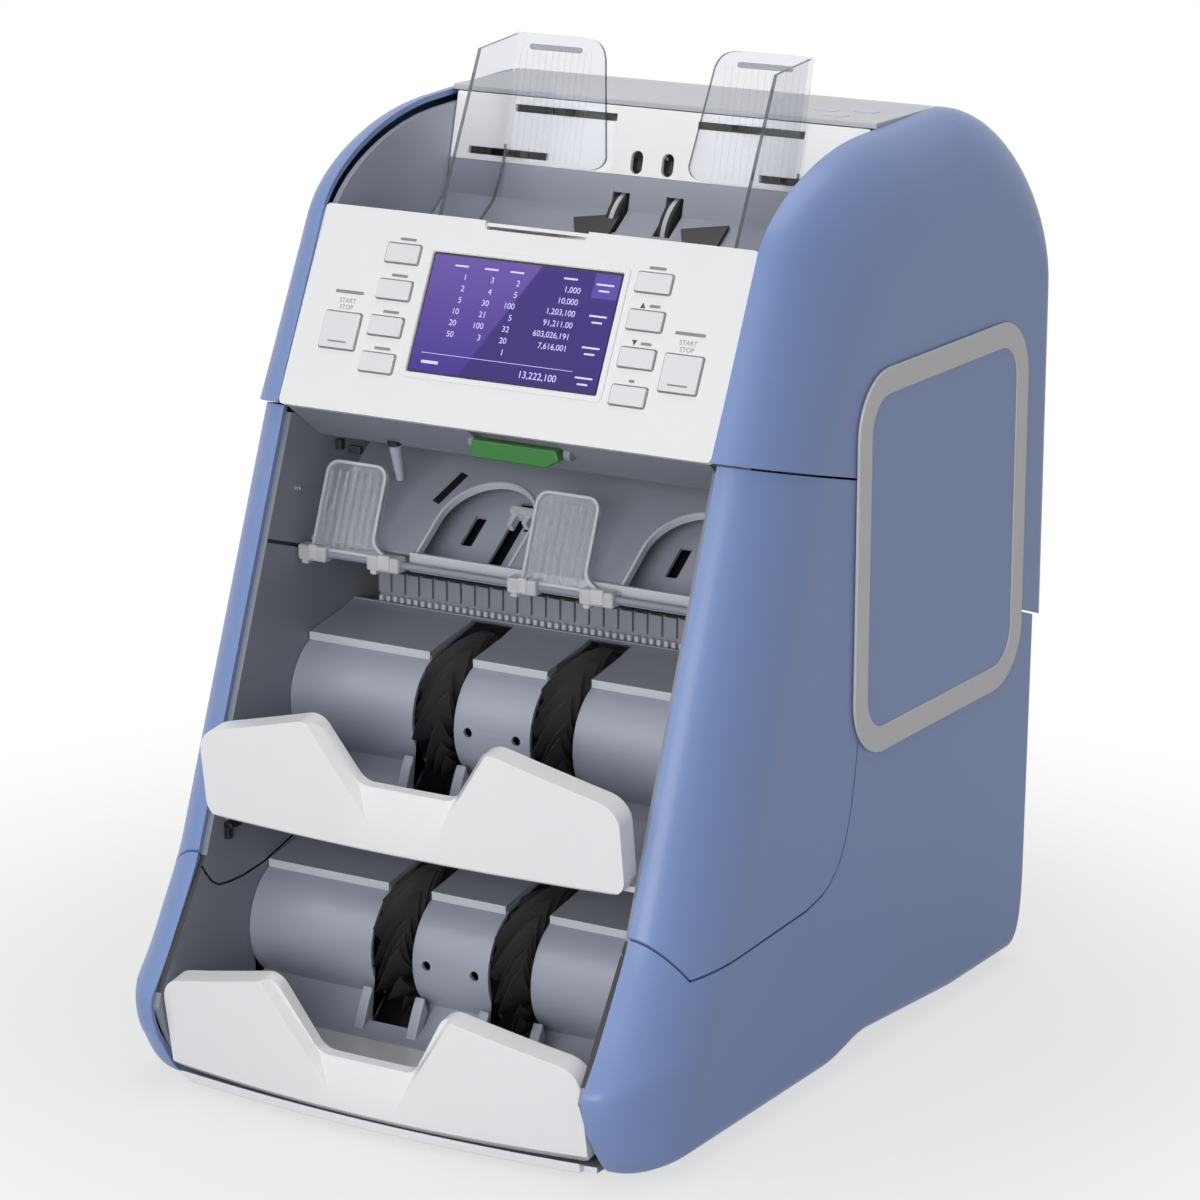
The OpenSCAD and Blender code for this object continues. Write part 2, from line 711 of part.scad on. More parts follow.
module panel_hole(x, row, w, h) slab(x - w / 2 - key_gap, x + w / 2 + key_gap, row - h / 2 - key_gap,
    row + h / 2 + key_gap, 1.2, -1, panel_t + 1);

module control_panel() color(panel_white) on_panel() difference() {
    slab(-frame_x + fit_gap, frame_x - fit_gap, 0, panel_h, 3, 0, panel_t);
    slab(-screen_w / 2, screen_w / 2, screen_row, screen_row + screen_h, 1, -1, panel_t + 1);
    for (side = [-1, 1]) {
        for (i = [1 : 4]) panel_hole(side * key_x, key_row(i), key_w, key_h);
        panel_hole(side * start_x, start_row, start_w, start_h);
    }
    slab(-30, 30, panel_h - 2.5, panel_h + 10, 2, -1, panel_t + 1);
}

module key_cap(x, row, w, h) color(panel_white) on_panel() {
    slab(x - w / 2, x + w / 2, row - h / 2, row + h / 2, 1, -key_proud, panel_t + fit_gap + 0.2);
    slab(x - w / 2 - 1.2, x + w / 2 + 1.2, row - h / 2 - 1.2, row + h / 2 + 1.2, 1, panel_t + fit_gap, panel_t + 1.5);
}

module screen_module() color([0.3, 0.22, 0.6]) on_panel() {
    slab(-screen_w / 2 + fit_gap, screen_w / 2 - fit_gap, screen_row + fit_gap, screen_row + screen_h - fit_gap, 1, 0.8, panel_t);
    slab(-screen_w / 2 - 4, screen_w / 2 + 4, screen_row - 3, screen_row + screen_h + 3, 1, panel_t, board_y);
    slab(-frame_in + 4, frame_in - 4, 12, panel_h - 6, 2, board_y, board_y + 1.6);
}
board_y = panel_t + 1.5 + 1.4;

// Side view of the head's side frames
module head_frame_outline() {
    intersection() {
        offset(delta = -panel_t - 2.6) head_outline();
        polygon(concat([[-far, far], head_seam_front + [-far, 140], head_seam_front + [0, 2],
            head_seam_mid + [0, 2], head_seam_back + [0, 2], [low_back_y + 4, head_seam_back[1] - 2],
            [far, head_seam_back[1] - 2], [far, far]]));
    }
    translate([hinge_y, hinge_z]) circle(hinge_ear_r, $fn = 48);
    polygon([[hinge_y - hinge_ear_r, hinge_z + 1], [hinge_y - hinge_ear_r - 2, hinge_z + 30],
        [hinge_y + hinge_ear_r - 2, hinge_z + 30], [hinge_y + hinge_ear_r - 2, hinge_z + 5]]);
}

module head_frame() color(inner_gray) both_sides() difference() {
    side_plate(frame_in + fit_gap, frame_x) head_frame_outline();
    rod_x([hinge_y, hinge_z], hinge_r + run_gap, 0, far);
    rod_x(feed_axis, shaft_r + run_gap, 0, far);
}

// Slots for the guides, holes for the feed fingers
module hopper_wall() color(panel_white) on_hopper() {
    difference() {
        slab(-inner_x, inner_x, 0, hopper_h - fit_gap, 1, 0, plate_t);
        for (side = [-1, 1]) {
            slab(min(side * slot_in, side * slot_out), max(side * slot_in, side * slot_out), tongue_z - 2, tongue_z + 2, 0.5, -1, plate_t + 1);
            slab(min(side * 63, side * 112), max(side * 63, side * 112), 3, 7, 0.5, -1, plate_t + 1);
            slab(side * 9.2 - 3.5, side * 9.2 + 3.5, 1, 13, 3.4, -1, plate_t + 1);
        }
    }
    translate([0, plate_t, pinion_z]) rotate([-90, 0, 0]) cylinder(h = 9, r = stud_r, $fn = 32);
}
slot_in = 24;
slot_out = 86;
tongue_z = 29;
pinion_z = 17;
stud_r = 2.5;

module hopper_chute() color(inner_gray) difference() {
    side_plate(-inner_x, inner_x) polygon([hopper_foot, hopper_foot + [-4.5, -18], chute_end,
        chute_end - [0, plate_t], hopper_foot + [-2, -18 - plate_t / 2], hopper_foot + [plate_t, -1]]);
    for (x = [-16, 16]) rod_x(feed_axis, feed_r + 1.5, x - 5, x + 5, 64);
}

chute_end = hopper_foot + [-88, -76];

module top_cover() color(cover_gray)
    translate([-frame_x + fit_gap, cover_front[0], cover_front[1]]) cube([2 * (frame_x - fit_gap), arc_centre[0] - cover_front[0], 3]);

module head_rear_cover() color(cover_gray)
    side_plate(-frame_x + fit_gap, frame_x - fit_gap) polygon(concat(
        arc(arc_centre, back_r, back_r, 90, 0, 16),
        arc(lip_centre, lip_r - seam_gap / 2, lip_r - seam_gap / 2, 0, -20, 4),
        arc(lip_centre, lip_r - rear_t, lip_r - rear_t, -20, 0, 4),
        arc(arc_centre, back_r - rear_t, back_r - rear_t, 0, 90, 16)));

module head_underside() color(inner_gray) difference() {
    union() {
        difference() {
            side_plate(-inner_x, inner_x) polygon([panel_foot + [4, -2], panel_foot + [32, -22],
                panel_foot + [110, 14], panel_foot + [110, 17], panel_foot + [32, -19], panel_foot + [6.5, -0.6]]);
            translate([lever_x - lever_w / 2 - 0.5, panel_foot[0], panel_foot[1] - 20]) cube([lever_w + 1, 22, 30]);
        }
        for (x = [lever_x - lever_w / 2 - 4.5, lever_x + lever_w / 2 + 0.5]) rod_x(lever_at, lever_pin_r + 2, x, x + 4, 32);
    }
    rod_x(lever_at, lever_pin_r + run_gap, lever_x - lever_w / 2 - 4.2, lever_x + lever_w / 2 + 4.2, 32);
}
lever_pin_r = 1.5;
lever_x = 11;
lever_w = 50;
lever_at = panel_foot + [14, -9];

module release_lever() color(green) {
    side_plate(lever_x - lever_w / 2, lever_x + lever_w / 2) translate(lever_at)
        polygon([[-8, 1], [-7, -6], [2, -7], [6, -3], [6, 3], [0, 5]]);
    rod_x(lever_at, lever_pin_r, lever_x - lever_w / 2 - 4, lever_x + lever_w / 2 + 4, 32);
}

// ---- Hopper guides -----------------------------------------------------

pitch = PI * rack_module;
pitch_r = rack_module * pinion_teeth / 2;
tooth_h = 1.7 * rack_module;
rack_t = 3;
rack_teeth = 18;
half_tooth = (pinion_teeth % 2) / 2;
guide_link_x = 54;

module rack(x0, teeth) {
    translate([x0, 0]) square([teeth * pitch, rack_t]);
    for (i = [0 : teeth - 1]) translate([x0 + (i + 0.5) * pitch, 0])
        polygon([[-pitch * 0.3, 0.1], [-pitch * 0.09, -tooth_h], [pitch * 0.09, -tooth_h], [pitch * 0.3, 0.1]]);
}

module guide_pinion() color(steel) on_hopper() translate([0, plate_t + 1, pinion_z]) rotate([-90, 0, 0])
    linear_extrude(6) difference() {
        union() {
            circle(pitch_r - rack_module, $fn = 48);
            for (i = [0 : pinion_teeth - 1]) rotate(90 + (i + 0.5) * 360 / pinion_teeth) polygon([
                [pitch_r - rack_module - 0.5, -pitch * 0.25], [pitch_r + rack_module * 0.6, -pitch * 0.08],
                [pitch_r + rack_module * 0.6, pitch * 0.08], [pitch_r - rack_module - 0.5, pitch * 0.25]]);
        }
        circle(stud_r + run_gap, $fn = 32);
    }

// Left guide: ribbed back plate, side plate, tongue through the slot and rack
module guide_plates() {
    plate_y = -4;
    on_hopper() {
        translate([0, plate_y, 0]) rotate([90, 0, 0]) linear_extrude(guide_t)
            polygon([[-guide_x - guide_t, 0], [-26, 0], [-24, 3], [-33, guide_h - 5], [-38, guide_h], [-guide_x - guide_t, guide_h]]);
        for (i = [0 : guide_ribs - 1]) translate([-guide_x + 3 + i * 3.9, plate_y - guide_t - 0.6, 2]) cube([0.8, 0.7, guide_h - 10]);
    }
    side_plate(-guide_x - guide_t, -guide_x) intersection() {
        translate(hopper_foot) polygon([
            [-4 / cos(hopper_lean) + 0.2, 0], [-4 / cos(hopper_lean) + guide_h * sin(hopper_lean) - 1, guide_h * cos(hopper_lean) + 0.5],
            [-26, guide_h * cos(hopper_lean) - 3], [-76, -42], [-74, -58], [-14, -18]]);
        square([4 * far, 4 * far], center = true);
    }
}

// Tongues from a guide's back plate through the wall, the upper one to a reach behind the wall
module guide_tongue(reach) on_hopper() {
    translate([-guide_link_x - 8, -5, tongue_z - 1.5]) cube([16, 5 + plate_t + reach, 3]);
    translate([-guide_x + 1, -5, 3.6]) cube([8, plate_t + 6, 2.8]);
}

module guide_left() color(clear) {
    guide_plates();
    guide_tongue(2);
    on_hopper() translate([0, plate_t + 6, pinion_z + pitch_r]) rotate([90, 0, 0]) linear_extrude(5)
        translate([0, tooth_h * 0.6]) rack(-(rack_teeth - 4.5 + half_tooth) * pitch, rack_teeth);
}

module guide_right() color(clear) {
    mirror([1, 0, 0]) guide_plates();
    mirror([1, 0, 0]) guide_tongue(0.7);
    on_hopper() translate([0, plate_t + 6, pinion_z - pitch_r]) rotate([90, 0, 0]) linear_extrude(5)
        mirror([0, 1]) translate([0, tooth_h * 0.6]) rack(-4.5 * pitch, rack_teeth);
    on_hopper() translate([guide_link_x, plate_t + fit_gap, pinion_z - pitch_r - 4])
        cube([8, 5.7, tongue_z - pinion_z + pitch_r + 4]);
}

module pickup_rollers() color(black) {
    rod_x(feed_axis, shaft_r, -frame_x + 0.4, frame_x - 0.4);
    for (x = [-16, 16]) rod_x(feed_axis, feed_r, x - 4, x + 4, 64);
}

base_pan();
rubber_feet();
color(blue) mirror([1, 0, 0]) side_shell();  // side_shell_left
color(blue) side_shell();  // side_shell_right
color(blue) mirror([1, 0, 0]) front_cover();  // front_cover_left
color(blue) front_cover();  // front_cover_right
side_frame_left();
side_frame_right();
rear_cover();
upper_drum();
lower_drum();
upper_deck();
lower_deck();
upper_tray();
lower_tray();
reject_bar();
reject_plate();
comb_guide();
drive_motor();
power_supply();
main_board();
power_inlet();
shaft_bushes();
hinge_brackets();
drive_belts();
rocker_switch();
motor_pulley();
upper_shaft();
upper_wheels();
lower_shaft();
lower_wheels();
flap_left();
flap_right();
color(blue) mirror([1, 0, 0]) head_shell();  // head_shell_left
color(blue) head_shell();  // head_shell_right
hatch_rings();
hatches();
control_panel();
screen_module();
hopper_wall();
hopper_chute();
top_cover();
head_rear_cover();
head_underside();
head_frame();
release_lever();
guide_left();
guide_right();
guide_pinion();
pickup_rollers();
key_cap(-key_x, key_row(1), key_w, key_h);  // key_left_1
key_cap(-key_x, key_row(2), key_w, key_h);  // key_left_2
key_cap(-key_x, key_row(3), key_w, key_h);  // key_left_3
key_cap(-key_x, key_row(4), key_w, key_h);  // key_left_4
key_cap(-start_x, start_row, start_w, start_h);  // start_key_left
key_cap(key_x, key_row(1), key_w, key_h);  // key_right_1
key_cap(key_x, key_row(2), key_w, key_h);  // key_right_2
key_cap(key_x, key_row(3), key_w, key_h);  // key_right_3
key_cap(key_x, key_row(4), key_w, key_h);  // key_right_4
key_cap(start_x, start_row, start_w, start_h);  // start_key_right
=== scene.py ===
"""Looks of a banknote counting machine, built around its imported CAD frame.

Lengths in this file are millimetres in the row's frame (+X right, -Y front, +Z up);
they become metres where a mesh is made.
"""
import json
import math
import random

import bmesh
import bpy
from mathutils import Matrix, Vector


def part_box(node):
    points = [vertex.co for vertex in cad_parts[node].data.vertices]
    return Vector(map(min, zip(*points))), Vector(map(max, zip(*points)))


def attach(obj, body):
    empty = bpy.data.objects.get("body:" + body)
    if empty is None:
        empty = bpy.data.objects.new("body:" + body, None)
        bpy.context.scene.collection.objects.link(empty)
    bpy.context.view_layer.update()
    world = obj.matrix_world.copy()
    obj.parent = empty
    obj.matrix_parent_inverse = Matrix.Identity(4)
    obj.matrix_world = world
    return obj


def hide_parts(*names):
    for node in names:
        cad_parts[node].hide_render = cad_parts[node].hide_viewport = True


MM = 0.001
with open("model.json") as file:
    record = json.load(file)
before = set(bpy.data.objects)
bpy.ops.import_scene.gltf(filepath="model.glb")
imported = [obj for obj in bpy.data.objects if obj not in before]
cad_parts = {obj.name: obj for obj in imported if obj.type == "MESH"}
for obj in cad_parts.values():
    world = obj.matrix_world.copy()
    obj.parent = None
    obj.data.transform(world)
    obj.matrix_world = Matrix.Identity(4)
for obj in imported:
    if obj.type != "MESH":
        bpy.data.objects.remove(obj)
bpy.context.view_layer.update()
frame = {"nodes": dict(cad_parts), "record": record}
record = frame["record"]
BODY_OF = {node: body for body, nodes in record["behaviour"]["bodies"].items() for node in nodes}
SLOT_OF = {part["node"]: part["material_slot"] for part in record["subparts"]}

# Across the machine: outer and inner face of a side frame, reach and wall of its cover
FRAME_X = 126.0
FRAME_IN = 122.8
BULGE = 32.0
WALL = 3.0
SEAM = 1.2

# Side view of the covers, as (y, z)
FRONT_LEAN = math.radians(20.65)
SILL = (-172.5, 116.0)
PANEL_LEAN = math.radians(25.7)
PANEL_FOOT = (-97.5, 333.0)
PANEL_H = 105.9
COVER_Z = 474.0
BACK_Y = 221.0
LOW_BACK_Y = 209.0
BACK_R = 96.0
ARC_CENTRE = (BACK_Y - BACK_R, COVER_Z - BACK_R)
CREST = (45.4, 470.5)
RING_Y0 = -9.5

# Hopper
HOPPER_LEAN = math.radians(13.7)
HOPPER_FOOT = (58.59, 436.51)

# Stackers
UPPER_AXIS = (-63.5, 176.0)
LOWER_AXIS = (-103.0, 64.0)
WHEEL_X = 35.0
FIN_W = 22.2
WHEEL_R = 46.0
DECK_SLOPE = math.radians(14.5)
TRAY_BEND = 890.0

# Reject pocket
ROD = (-84.0, 254.0)
PLATE_FOOT = (-74.0, 256.0)
PLATE_SLOPE = math.radians(36)
ARCHES = (-30.0, 91.0)
ARCH_R = 27.0


# ---- Geometry helpers ----

def arc(centre, ry, rz, start, end, steps):
    """Points of an elliptical arc in the side view, angles in degrees."""
    points = []
    for i in range(steps + 1):
        a = math.radians(start + (end - start) * i / steps)
        points.append((centre[0] + ry * math.cos(a), centre[1] + rz * math.sin(a)))
    return points


def bezier(a, b, c, d, steps):
    """Points of a cubic curve with its two end points and two handles."""
    points = []
    for i in range(steps + 1):
        t = i / steps
        u = 1 - t
        weights = (u ** 3, 3 * u * u * t, 3 * u * t * t, t ** 3)
        points.append(tuple(sum(w * p[k] for w, p in zip(weights, (a, b, c, d))) for k in (0, 1)))
    return points


def line(a, b, steps):
    return [(a[0] + (b[0] - a[0]) * i / steps, a[1] + (b[1] - a[1]) * i / steps) for i in range(steps + 1)]


def chain(*runs):
    """Joins runs of points into one closed outline, without repeated points."""
    points = []
    for run in runs:
        for p in run:
            if not points or math.dist(p, points[-1]) > 1e-6:
                points.append(p)
    if math.dist(points[0], points[-1]) < 1e-6:
        points.pop()
    return points


def path(start, *runs):
    """Points along runs of (steps, end) for a line or (steps, handle, handle, end) for a curve."""
    pieces = []
    for steps, *points in runs:
        pieces.append((bezier if len(points) == 3 else line)(start, *points, steps))
        start = points[-1]
    return chain(*pieces)


def inset(points, distance):
    """Moves each side of a closed counter-clockwise outline inwards."""
    moved = []
    count = len(points)
    for i in range(count):
        a, b, c = (Vector(points[(i + k - 1) % count]) for k in range(3))
        d1, d2 = (b - a).normalized(), (c - b).normalized()
        n1, n2 = Vector((-d1.y, d1.x)), Vector((-d2.y, d2.x))
        n = (n1 + n2).normalized()
        moved.append(tuple(b + n * distance / max(n.dot(n1), 0.35)))
    return moved


def on_slope(foot, lean, x, row, depth):
    """A point of a leaning face: across, up along its slope, and behind it."""
    s, c = math.sin(lean), math.cos(lean)
    return (x, foot[0] + row * s + depth * c, foot[1] + row * c - depth * s)


def on_panel(x, row, depth):
    return on_slope(PANEL_FOOT, PANEL_LEAN, x, row, depth)


def on_hopper(x, row, depth):
    return on_slope(HOPPER_FOOT, HOPPER_LEAN, x, row, depth)


def on_plate(x, row, depth):
    """The same for the reject pocket's plate, which slopes backwards."""
    return on_slope(PLATE_FOOT, math.pi / 2 - PLATE_SLOPE, x, row, depth)


def place_new(name, data):
    """New object in the scene for a mesh, curve, camera or light."""
    obj = bpy.data.objects.new(name, data)
    bpy.context.scene.collection.objects.link(obj)
    return obj


def make_object(name, points, faces, material):
    mesh = bpy.data.meshes.new(name)
    mesh.from_pydata([tuple(v * MM for v in p) for p in points], [], faces)
    mesh.validate()
    obj = place_new(name, mesh)
    if material:
        mesh.materials.append(material)
    return obj


def fix_normals(obj):
    """Joins doubled corners and turns all faces outwards."""
    mesh = bmesh.new()
    mesh.from_mesh(obj.data)
    bmesh.ops.remove_doubles(mesh, verts=mesh.verts, dist=1e-7)
    bmesh.ops.recalc_face_normals(mesh, faces=mesh.faces)
    mesh.to_mesh(obj.data)
    mesh.free()
    return obj


def prism(name, outline, low, high, place, material=None):
    """Closed prism over an outline; place(a, b, depth) gives each corner."""
    count = len(outline)
    points = [place(a, b, low) for a, b in outline] + [place(a, b, high) for a, b in outline]
    faces = [tuple(range(count)), tuple(range(2 * count - 1, count - 1, -1))]
    faces += [(i, (i + 1) % count, (i + 1) % count + count, i + count) for i in range(count)]
    return fix_normals(make_object(name, points, faces, material))


def side_prism(name, outline, x0, x1, material=None):
    return prism(name, outline, x0, x1, lambda y, z, x: (x, y, z), material)


def rounded_box(x0, x1, z0, z1, radius, steps=5):
    """Outline of a rectangle with rounded corners."""
    corners = ((x1 - radius, z0 + radius, -90), (x1 - radius, z1 - radius, 0),
               (x0 + radius, z1 - radius, 90), (x0 + radius, z0 + radius, 180))
    return chain(*[arc((x, z), radius, radius, a, a + 90, steps) for x, z, a in corners])


def centred_box(x, z, width, height, radius, steps=5):
    """The same about a centre."""
    return rounded_box(x - width / 2, x + width / 2, z - height / 2, z + height / 2, radius, steps)


def apply_modifiers(obj):
    graph = bpy.context.evaluated_depsgraph_get()
    mesh = bpy.data.meshes.new_from_object(obj.evaluated_get(graph))
    obj.modifiers.clear()
    obj.data = mesh


def cut(obj, tool, operation="DIFFERENCE"):
    """Boolean with a tool object, which is deleted."""
    modifier = obj.modifiers.new("cut", "BOOLEAN")
    modifier.operation = operation
    modifier.solver = "EXACT"
    modifier.object = tool
    apply_modifiers(obj)
    bpy.data.objects.remove(tool)
    return obj


def soften(obj, width, segments=2, angle=30):
    """Rounds the edges sharper than an angle."""
    modifier = obj.modifiers.new("round", "BEVEL")
    modifier.width = width * MM
    modifier.segments = segments
    modifier.limit_method = "ANGLE"
    modifier.angle_limit = math.radians(angle)
    modifier.use_clamp_overlap = True
    apply_modifiers(obj)
    return obj


def settle(obj, body, slot, replaced=(), angle=35):
    """Shades a finished piece, ties it to its body and hides the CAD nodes it stands for; its slot is not used."""
    for polygon in obj.data.polygons:
        polygon.use_smooth = True
    obj.data.set_sharp_from_angle(angle=math.radians(angle))
    even = obj.modifiers.new("even", "WEIGHTED_NORMAL")
    even.keep_sharp = True
    apply_modifiers(obj)
    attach(obj, body)
    if replaced:
        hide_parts(*replaced)
    return obj


def merge(name, parts):
    """Joins objects into a new one, which takes their materials."""
    mesh = bmesh.new()
    materials = []
    for part in parts:
        start = len(mesh.faces)
        mesh.from_mesh(part.data)
        mesh.faces.ensure_lookup_table()
        slots = []
        for material in part.data.materials:
            if material not in materials:
                materials.append(material)
            slots.append(materials.index(material))
        for face in mesh.faces[start:]:
            face.material_index = slots[face.material_index] if slots else 0
    joined = bpy.data.meshes.new(name)
    mesh.to_mesh(joined)
    mesh.free()
    for material in materials:
        joined.materials.append(material)
    obj = place_new(name, joined)
    for part in parts:
        bpy.data.objects.remove(part)
    return obj


def copy_of(node, material):
    """A copy of a CAD node's mesh as a piece of its own, with flat faces joined."""
    mesh = bmesh.new()
    mesh.from_mesh(frame["nodes"][node].data)
    bmesh.ops.remove_doubles(mesh, verts=mesh.verts, dist=2e-6)
    bmesh.ops.dissolve_limit(mesh, angle_limit=math.radians(0.6), verts=mesh.verts, edges=mesh.edges)
    data = bpy.data.meshes.new(node + "_look")
    mesh.to_mesh(data)
    mesh.free()
    data.materials.clear()
    data.materials.append(material)
    return place_new(node + "_look", data)


def dress(node, material, bevel=0.4, segments=2, angle=35):
    """Stands for a CAD node with the same shape, softened edges and a real material."""
    obj = copy_of(node, material)
    if bevel:
        soften(obj, bevel, segments)
    return settle(obj, BODY_OF[node], SLOT_OF[node], (node,), angle)


# ---- Small shapes ----

def band(path, width):
    """Outline of a strip of even width along an open path."""
    left, right = [], []
    for i, p in enumerate(path):
        a = Vector(path[max(i - 1, 0)])
        b = Vector(path[min(i + 1, len(path) - 1)])
        d = (b - a).normalized()
        n = Vector((-d.y, d.x)) * width / 2
        left.append(tuple(Vector(p) + n))
        right.append(tuple(Vector(p) - n))
    return left + right[::-1]


def ring(name, outer, inner, low, high, place, material):
    """Flat ring between two outlines that have the same number of points."""
    count = len(outer)
    points = []
    for outline, depth in ((outer, low), (inner, low), (inner, high), (outer, high)):
        points += [place(a, b, depth) for a, b in outline]
    faces = []
    for k in range(4):
        for i in range(count):
            j = (i + 1) % count
            low_row, high_row = k * count, (k + 1) % 4 * count
            faces.append((low_row + i, low_row + j, high_row + j, high_row + i))
    return fix_normals(make_object(name, points, faces, material))


def block(name, low, high, material, bevel=0.5, segments=2):
    """Box between two corners, with rounded edges."""
    outline = [(low[1], low[2]), (high[1], low[2]), (high[1], high[2]), (low[1], high[2])]
    return soften(side_prism(name, outline, low[0], high[0], material), bevel, segments)


def turned(name, axis, profile, material, steps=40):
    """Solid of revolution around an axis along X; the profile is (x, radius) pairs."""
    points, faces = [], []
    for x, radius in profile:
        for i in range(steps):
            a = 2 * math.pi * i / steps
            points.append((x, axis[0] + radius * math.cos(a), axis[1] + radius * math.sin(a)))
    for k in range(len(profile) - 1):
        for i in range(steps):
            j = (i + 1) % steps
            faces.append((k * steps + i, k * steps + j, (k + 1) * steps + j, (k + 1) * steps + i))
    faces.append(tuple(range(steps)))
    faces.append(tuple(range((len(profile) - 1) * steps, len(profile) * steps)))
    return fix_normals(make_object(name, points, faces, material))


def recolour(obj, material, chosen):
    """Gives another material to the faces that a test on centre (mm) and normal picks."""
    obj.data.materials.append(material)
    index = len(obj.data.materials) - 1
    for polygon in obj.data.polygons:
        if chosen(polygon.center / MM, polygon.normal):
            polygon.material_index = index


def paint(material, *nodes):
    """Gives CAD nodes that keep their shape a real material."""
    for node in nodes:
        for slot in frame["nodes"][node].material_slots:
            slot.material = material


def panel_matrix(x, row, depth):
    """Turns the XY plane into the control panel's face at a point."""
    s, c = math.sin(PANEL_LEAN), math.cos(PANEL_LEAN)
    turn = Matrix(((1, 0, 0), (0, s, -c), (0, c, s))).to_4x4()
    return Matrix.Translation(Vector(on_panel(x, row, depth)) * MM) @ turn


def letters(name, text, x, row, size, material, slot, align="CENTER", depth=-0.02):
    """Raised lettering on the control panel's plane."""
    curve = bpy.data.curves.new(name, "FONT")
    curve.body = text
    curve.size = size * MM
    curve.extrude = 0.03 * MM
    curve.align_x = align
    curve.align_y = "CENTER"
    source = place_new(name + "_source", curve)
    graph = bpy.context.evaluated_depsgraph_get()
    mesh = bpy.data.meshes.new_from_object(source.evaluated_get(graph))
    bpy.data.objects.remove(source)
    mesh.transform(panel_matrix(x, row, depth))
    mesh.materials.clear()
    mesh.materials.append(material)
    return settle(place_new(name, mesh), "head", slot)


def mark(name, x, row, width, height, material=None, slot="panel_white", depth=0.0):
    """Printed bar on the control panel, or lit bar on its screen."""
    outline = centred_box(x, row, width, height, min(height, width) * 0.3, 3)
    settle(prism(name, outline, depth - 0.05, depth + 0.1, on_panel, material or GRAY_INK_AND_GAP_SHADE), "head", slot)


# ---- Materials ----

def linear(rgb):
    """Linear colour of 0..255 screen values."""
    return [((v / 255 + 0.055) / 1.055) ** 2.4 if v > 10 else v / 255 / 12.92 for v in rgb] + [1.0]


def base_material(name):
    material = bpy.data.materials.new(name)
    material.use_nodes = True
    return material, material.node_tree, material.node_tree.nodes["Principled BSDF"]


def fill(node, *values):
    """Sets unlinked inputs of a shader node from (input, value) pairs."""
    for key, value in values:
        node.inputs[key].default_value = value


def add(tree, kind, *sources):
    """New shader node with inputs linked by (input, output socket) pairs."""
    node = tree.nodes.new("ShaderNode" + kind)
    for key, output in sources:
        tree.links.new(output, node.inputs[key])
    return node


def noise(tree, place, scale):
    texture = add(tree, "TexNoise", ("Vector", place))
    fill(texture, ("Scale", scale))
    return texture


def ranged(tree, value, *limits):
    """Map Range node over a value, with limits as (input, value) pairs."""
    node = add(tree, "MapRange", ("Value", value))
    fill(node, *limits)
    return node.outputs["Result"]


def blend(tree, factor, a, b):
    """Mix of two colours, each a list of values or an output socket."""
    mix = tree.nodes.new("ShaderNodeMix")
    mix.data_type = "RGBA"
    tree.links.new(factor, mix.inputs["Factor"])
    for key, colour in (("A", a), ("B", b)):
        if isinstance(colour, list):
            fill(mix, (key, colour))
        else:
            tree.links.new(colour, mix.inputs[key])
    return mix.outputs["Result"]


def set_bump(tree, shader, height, strength, distance):
    raised = add(tree, "Bump", ("Height", height))
    fill(raised, ("Strength", strength), ("Distance", distance))
    tree.links.new(raised.outputs["Normal"], shader.inputs["Normal"])


def moulded(name, rgb, roughness=0.4, grain=1400.0, bump=0.06, coat=0.0, metallic=0.0):
    """Moulded or painted surface: fine grain in bump and roughness, slow drift in colour."""
    material, tree, shader = base_material(name)
    fill(shader, ("Metallic", metallic), ("Coat Weight", coat), ("Coat Roughness", 0.12))
    place = add(tree, "TexCoord").outputs["Object"]
    fine = noise(tree, place, grain)
    fill(fine, ("Detail", 3.0))
    set_bump(tree, shader, fine.outputs["Fac"], bump, 0.0004)
    rough = ranged(tree, fine.outputs["Fac"], ("To Min", roughness - 0.06), ("To Max", roughness + 0.06))
    tree.links.new(rough, shader.inputs["Roughness"])
    drift = 0.03
    shades = [[min(c * k, 1.0) for c in linear(rgb)[:3]] + [1.0] for k in (1 - drift, 1 + drift)]
    slow = noise(tree, place, 9.0).outputs["Fac"]
    tree.links.new(blend(tree, slow, *shades), shader.inputs["Base Color"])
    return material


def brushed(name, rgb, roughness=0.3):
    """Turned or brushed metal: streaks along one way."""
    material, tree, shader = base_material(name)
    fill(shader, ("Metallic", 1.0), ("Base Color", linear(rgb)))
    stretch = add(tree, "Mapping", ("Vector", add(tree, "TexCoord").outputs["Object"]))
    fill(stretch, ("Scale", (40.0, 1500.0, 1500.0)))
    streaks = noise(tree, stretch.outputs["Vector"], 1.0).outputs["Fac"]
    rough = ranged(tree, streaks, ("To Min", roughness - 0.1), ("To Max", roughness + 0.15))
    tree.links.new(rough, shader.inputs["Roughness"])
    return material


def see_through(name, rgb, roughness=0.03, ior=1.03, clear=1.0):
    """Clear moulded plastic, with a faint orange-peel surface."""
    material, tree, shader = base_material(name)
    fill(shader, ("Base Color", linear(rgb)), ("Transmission Weight", clear), ("Roughness", roughness),
         ("IOR", ior), ("Coat Weight", 0.3), ("Coat Roughness", 0.03))
    waves = noise(tree, add(tree, "TexCoord").outputs["Object"], 120.0)
    set_bump(tree, shader, waves.outputs["Fac"], 0.03, 0.0005)
    return material


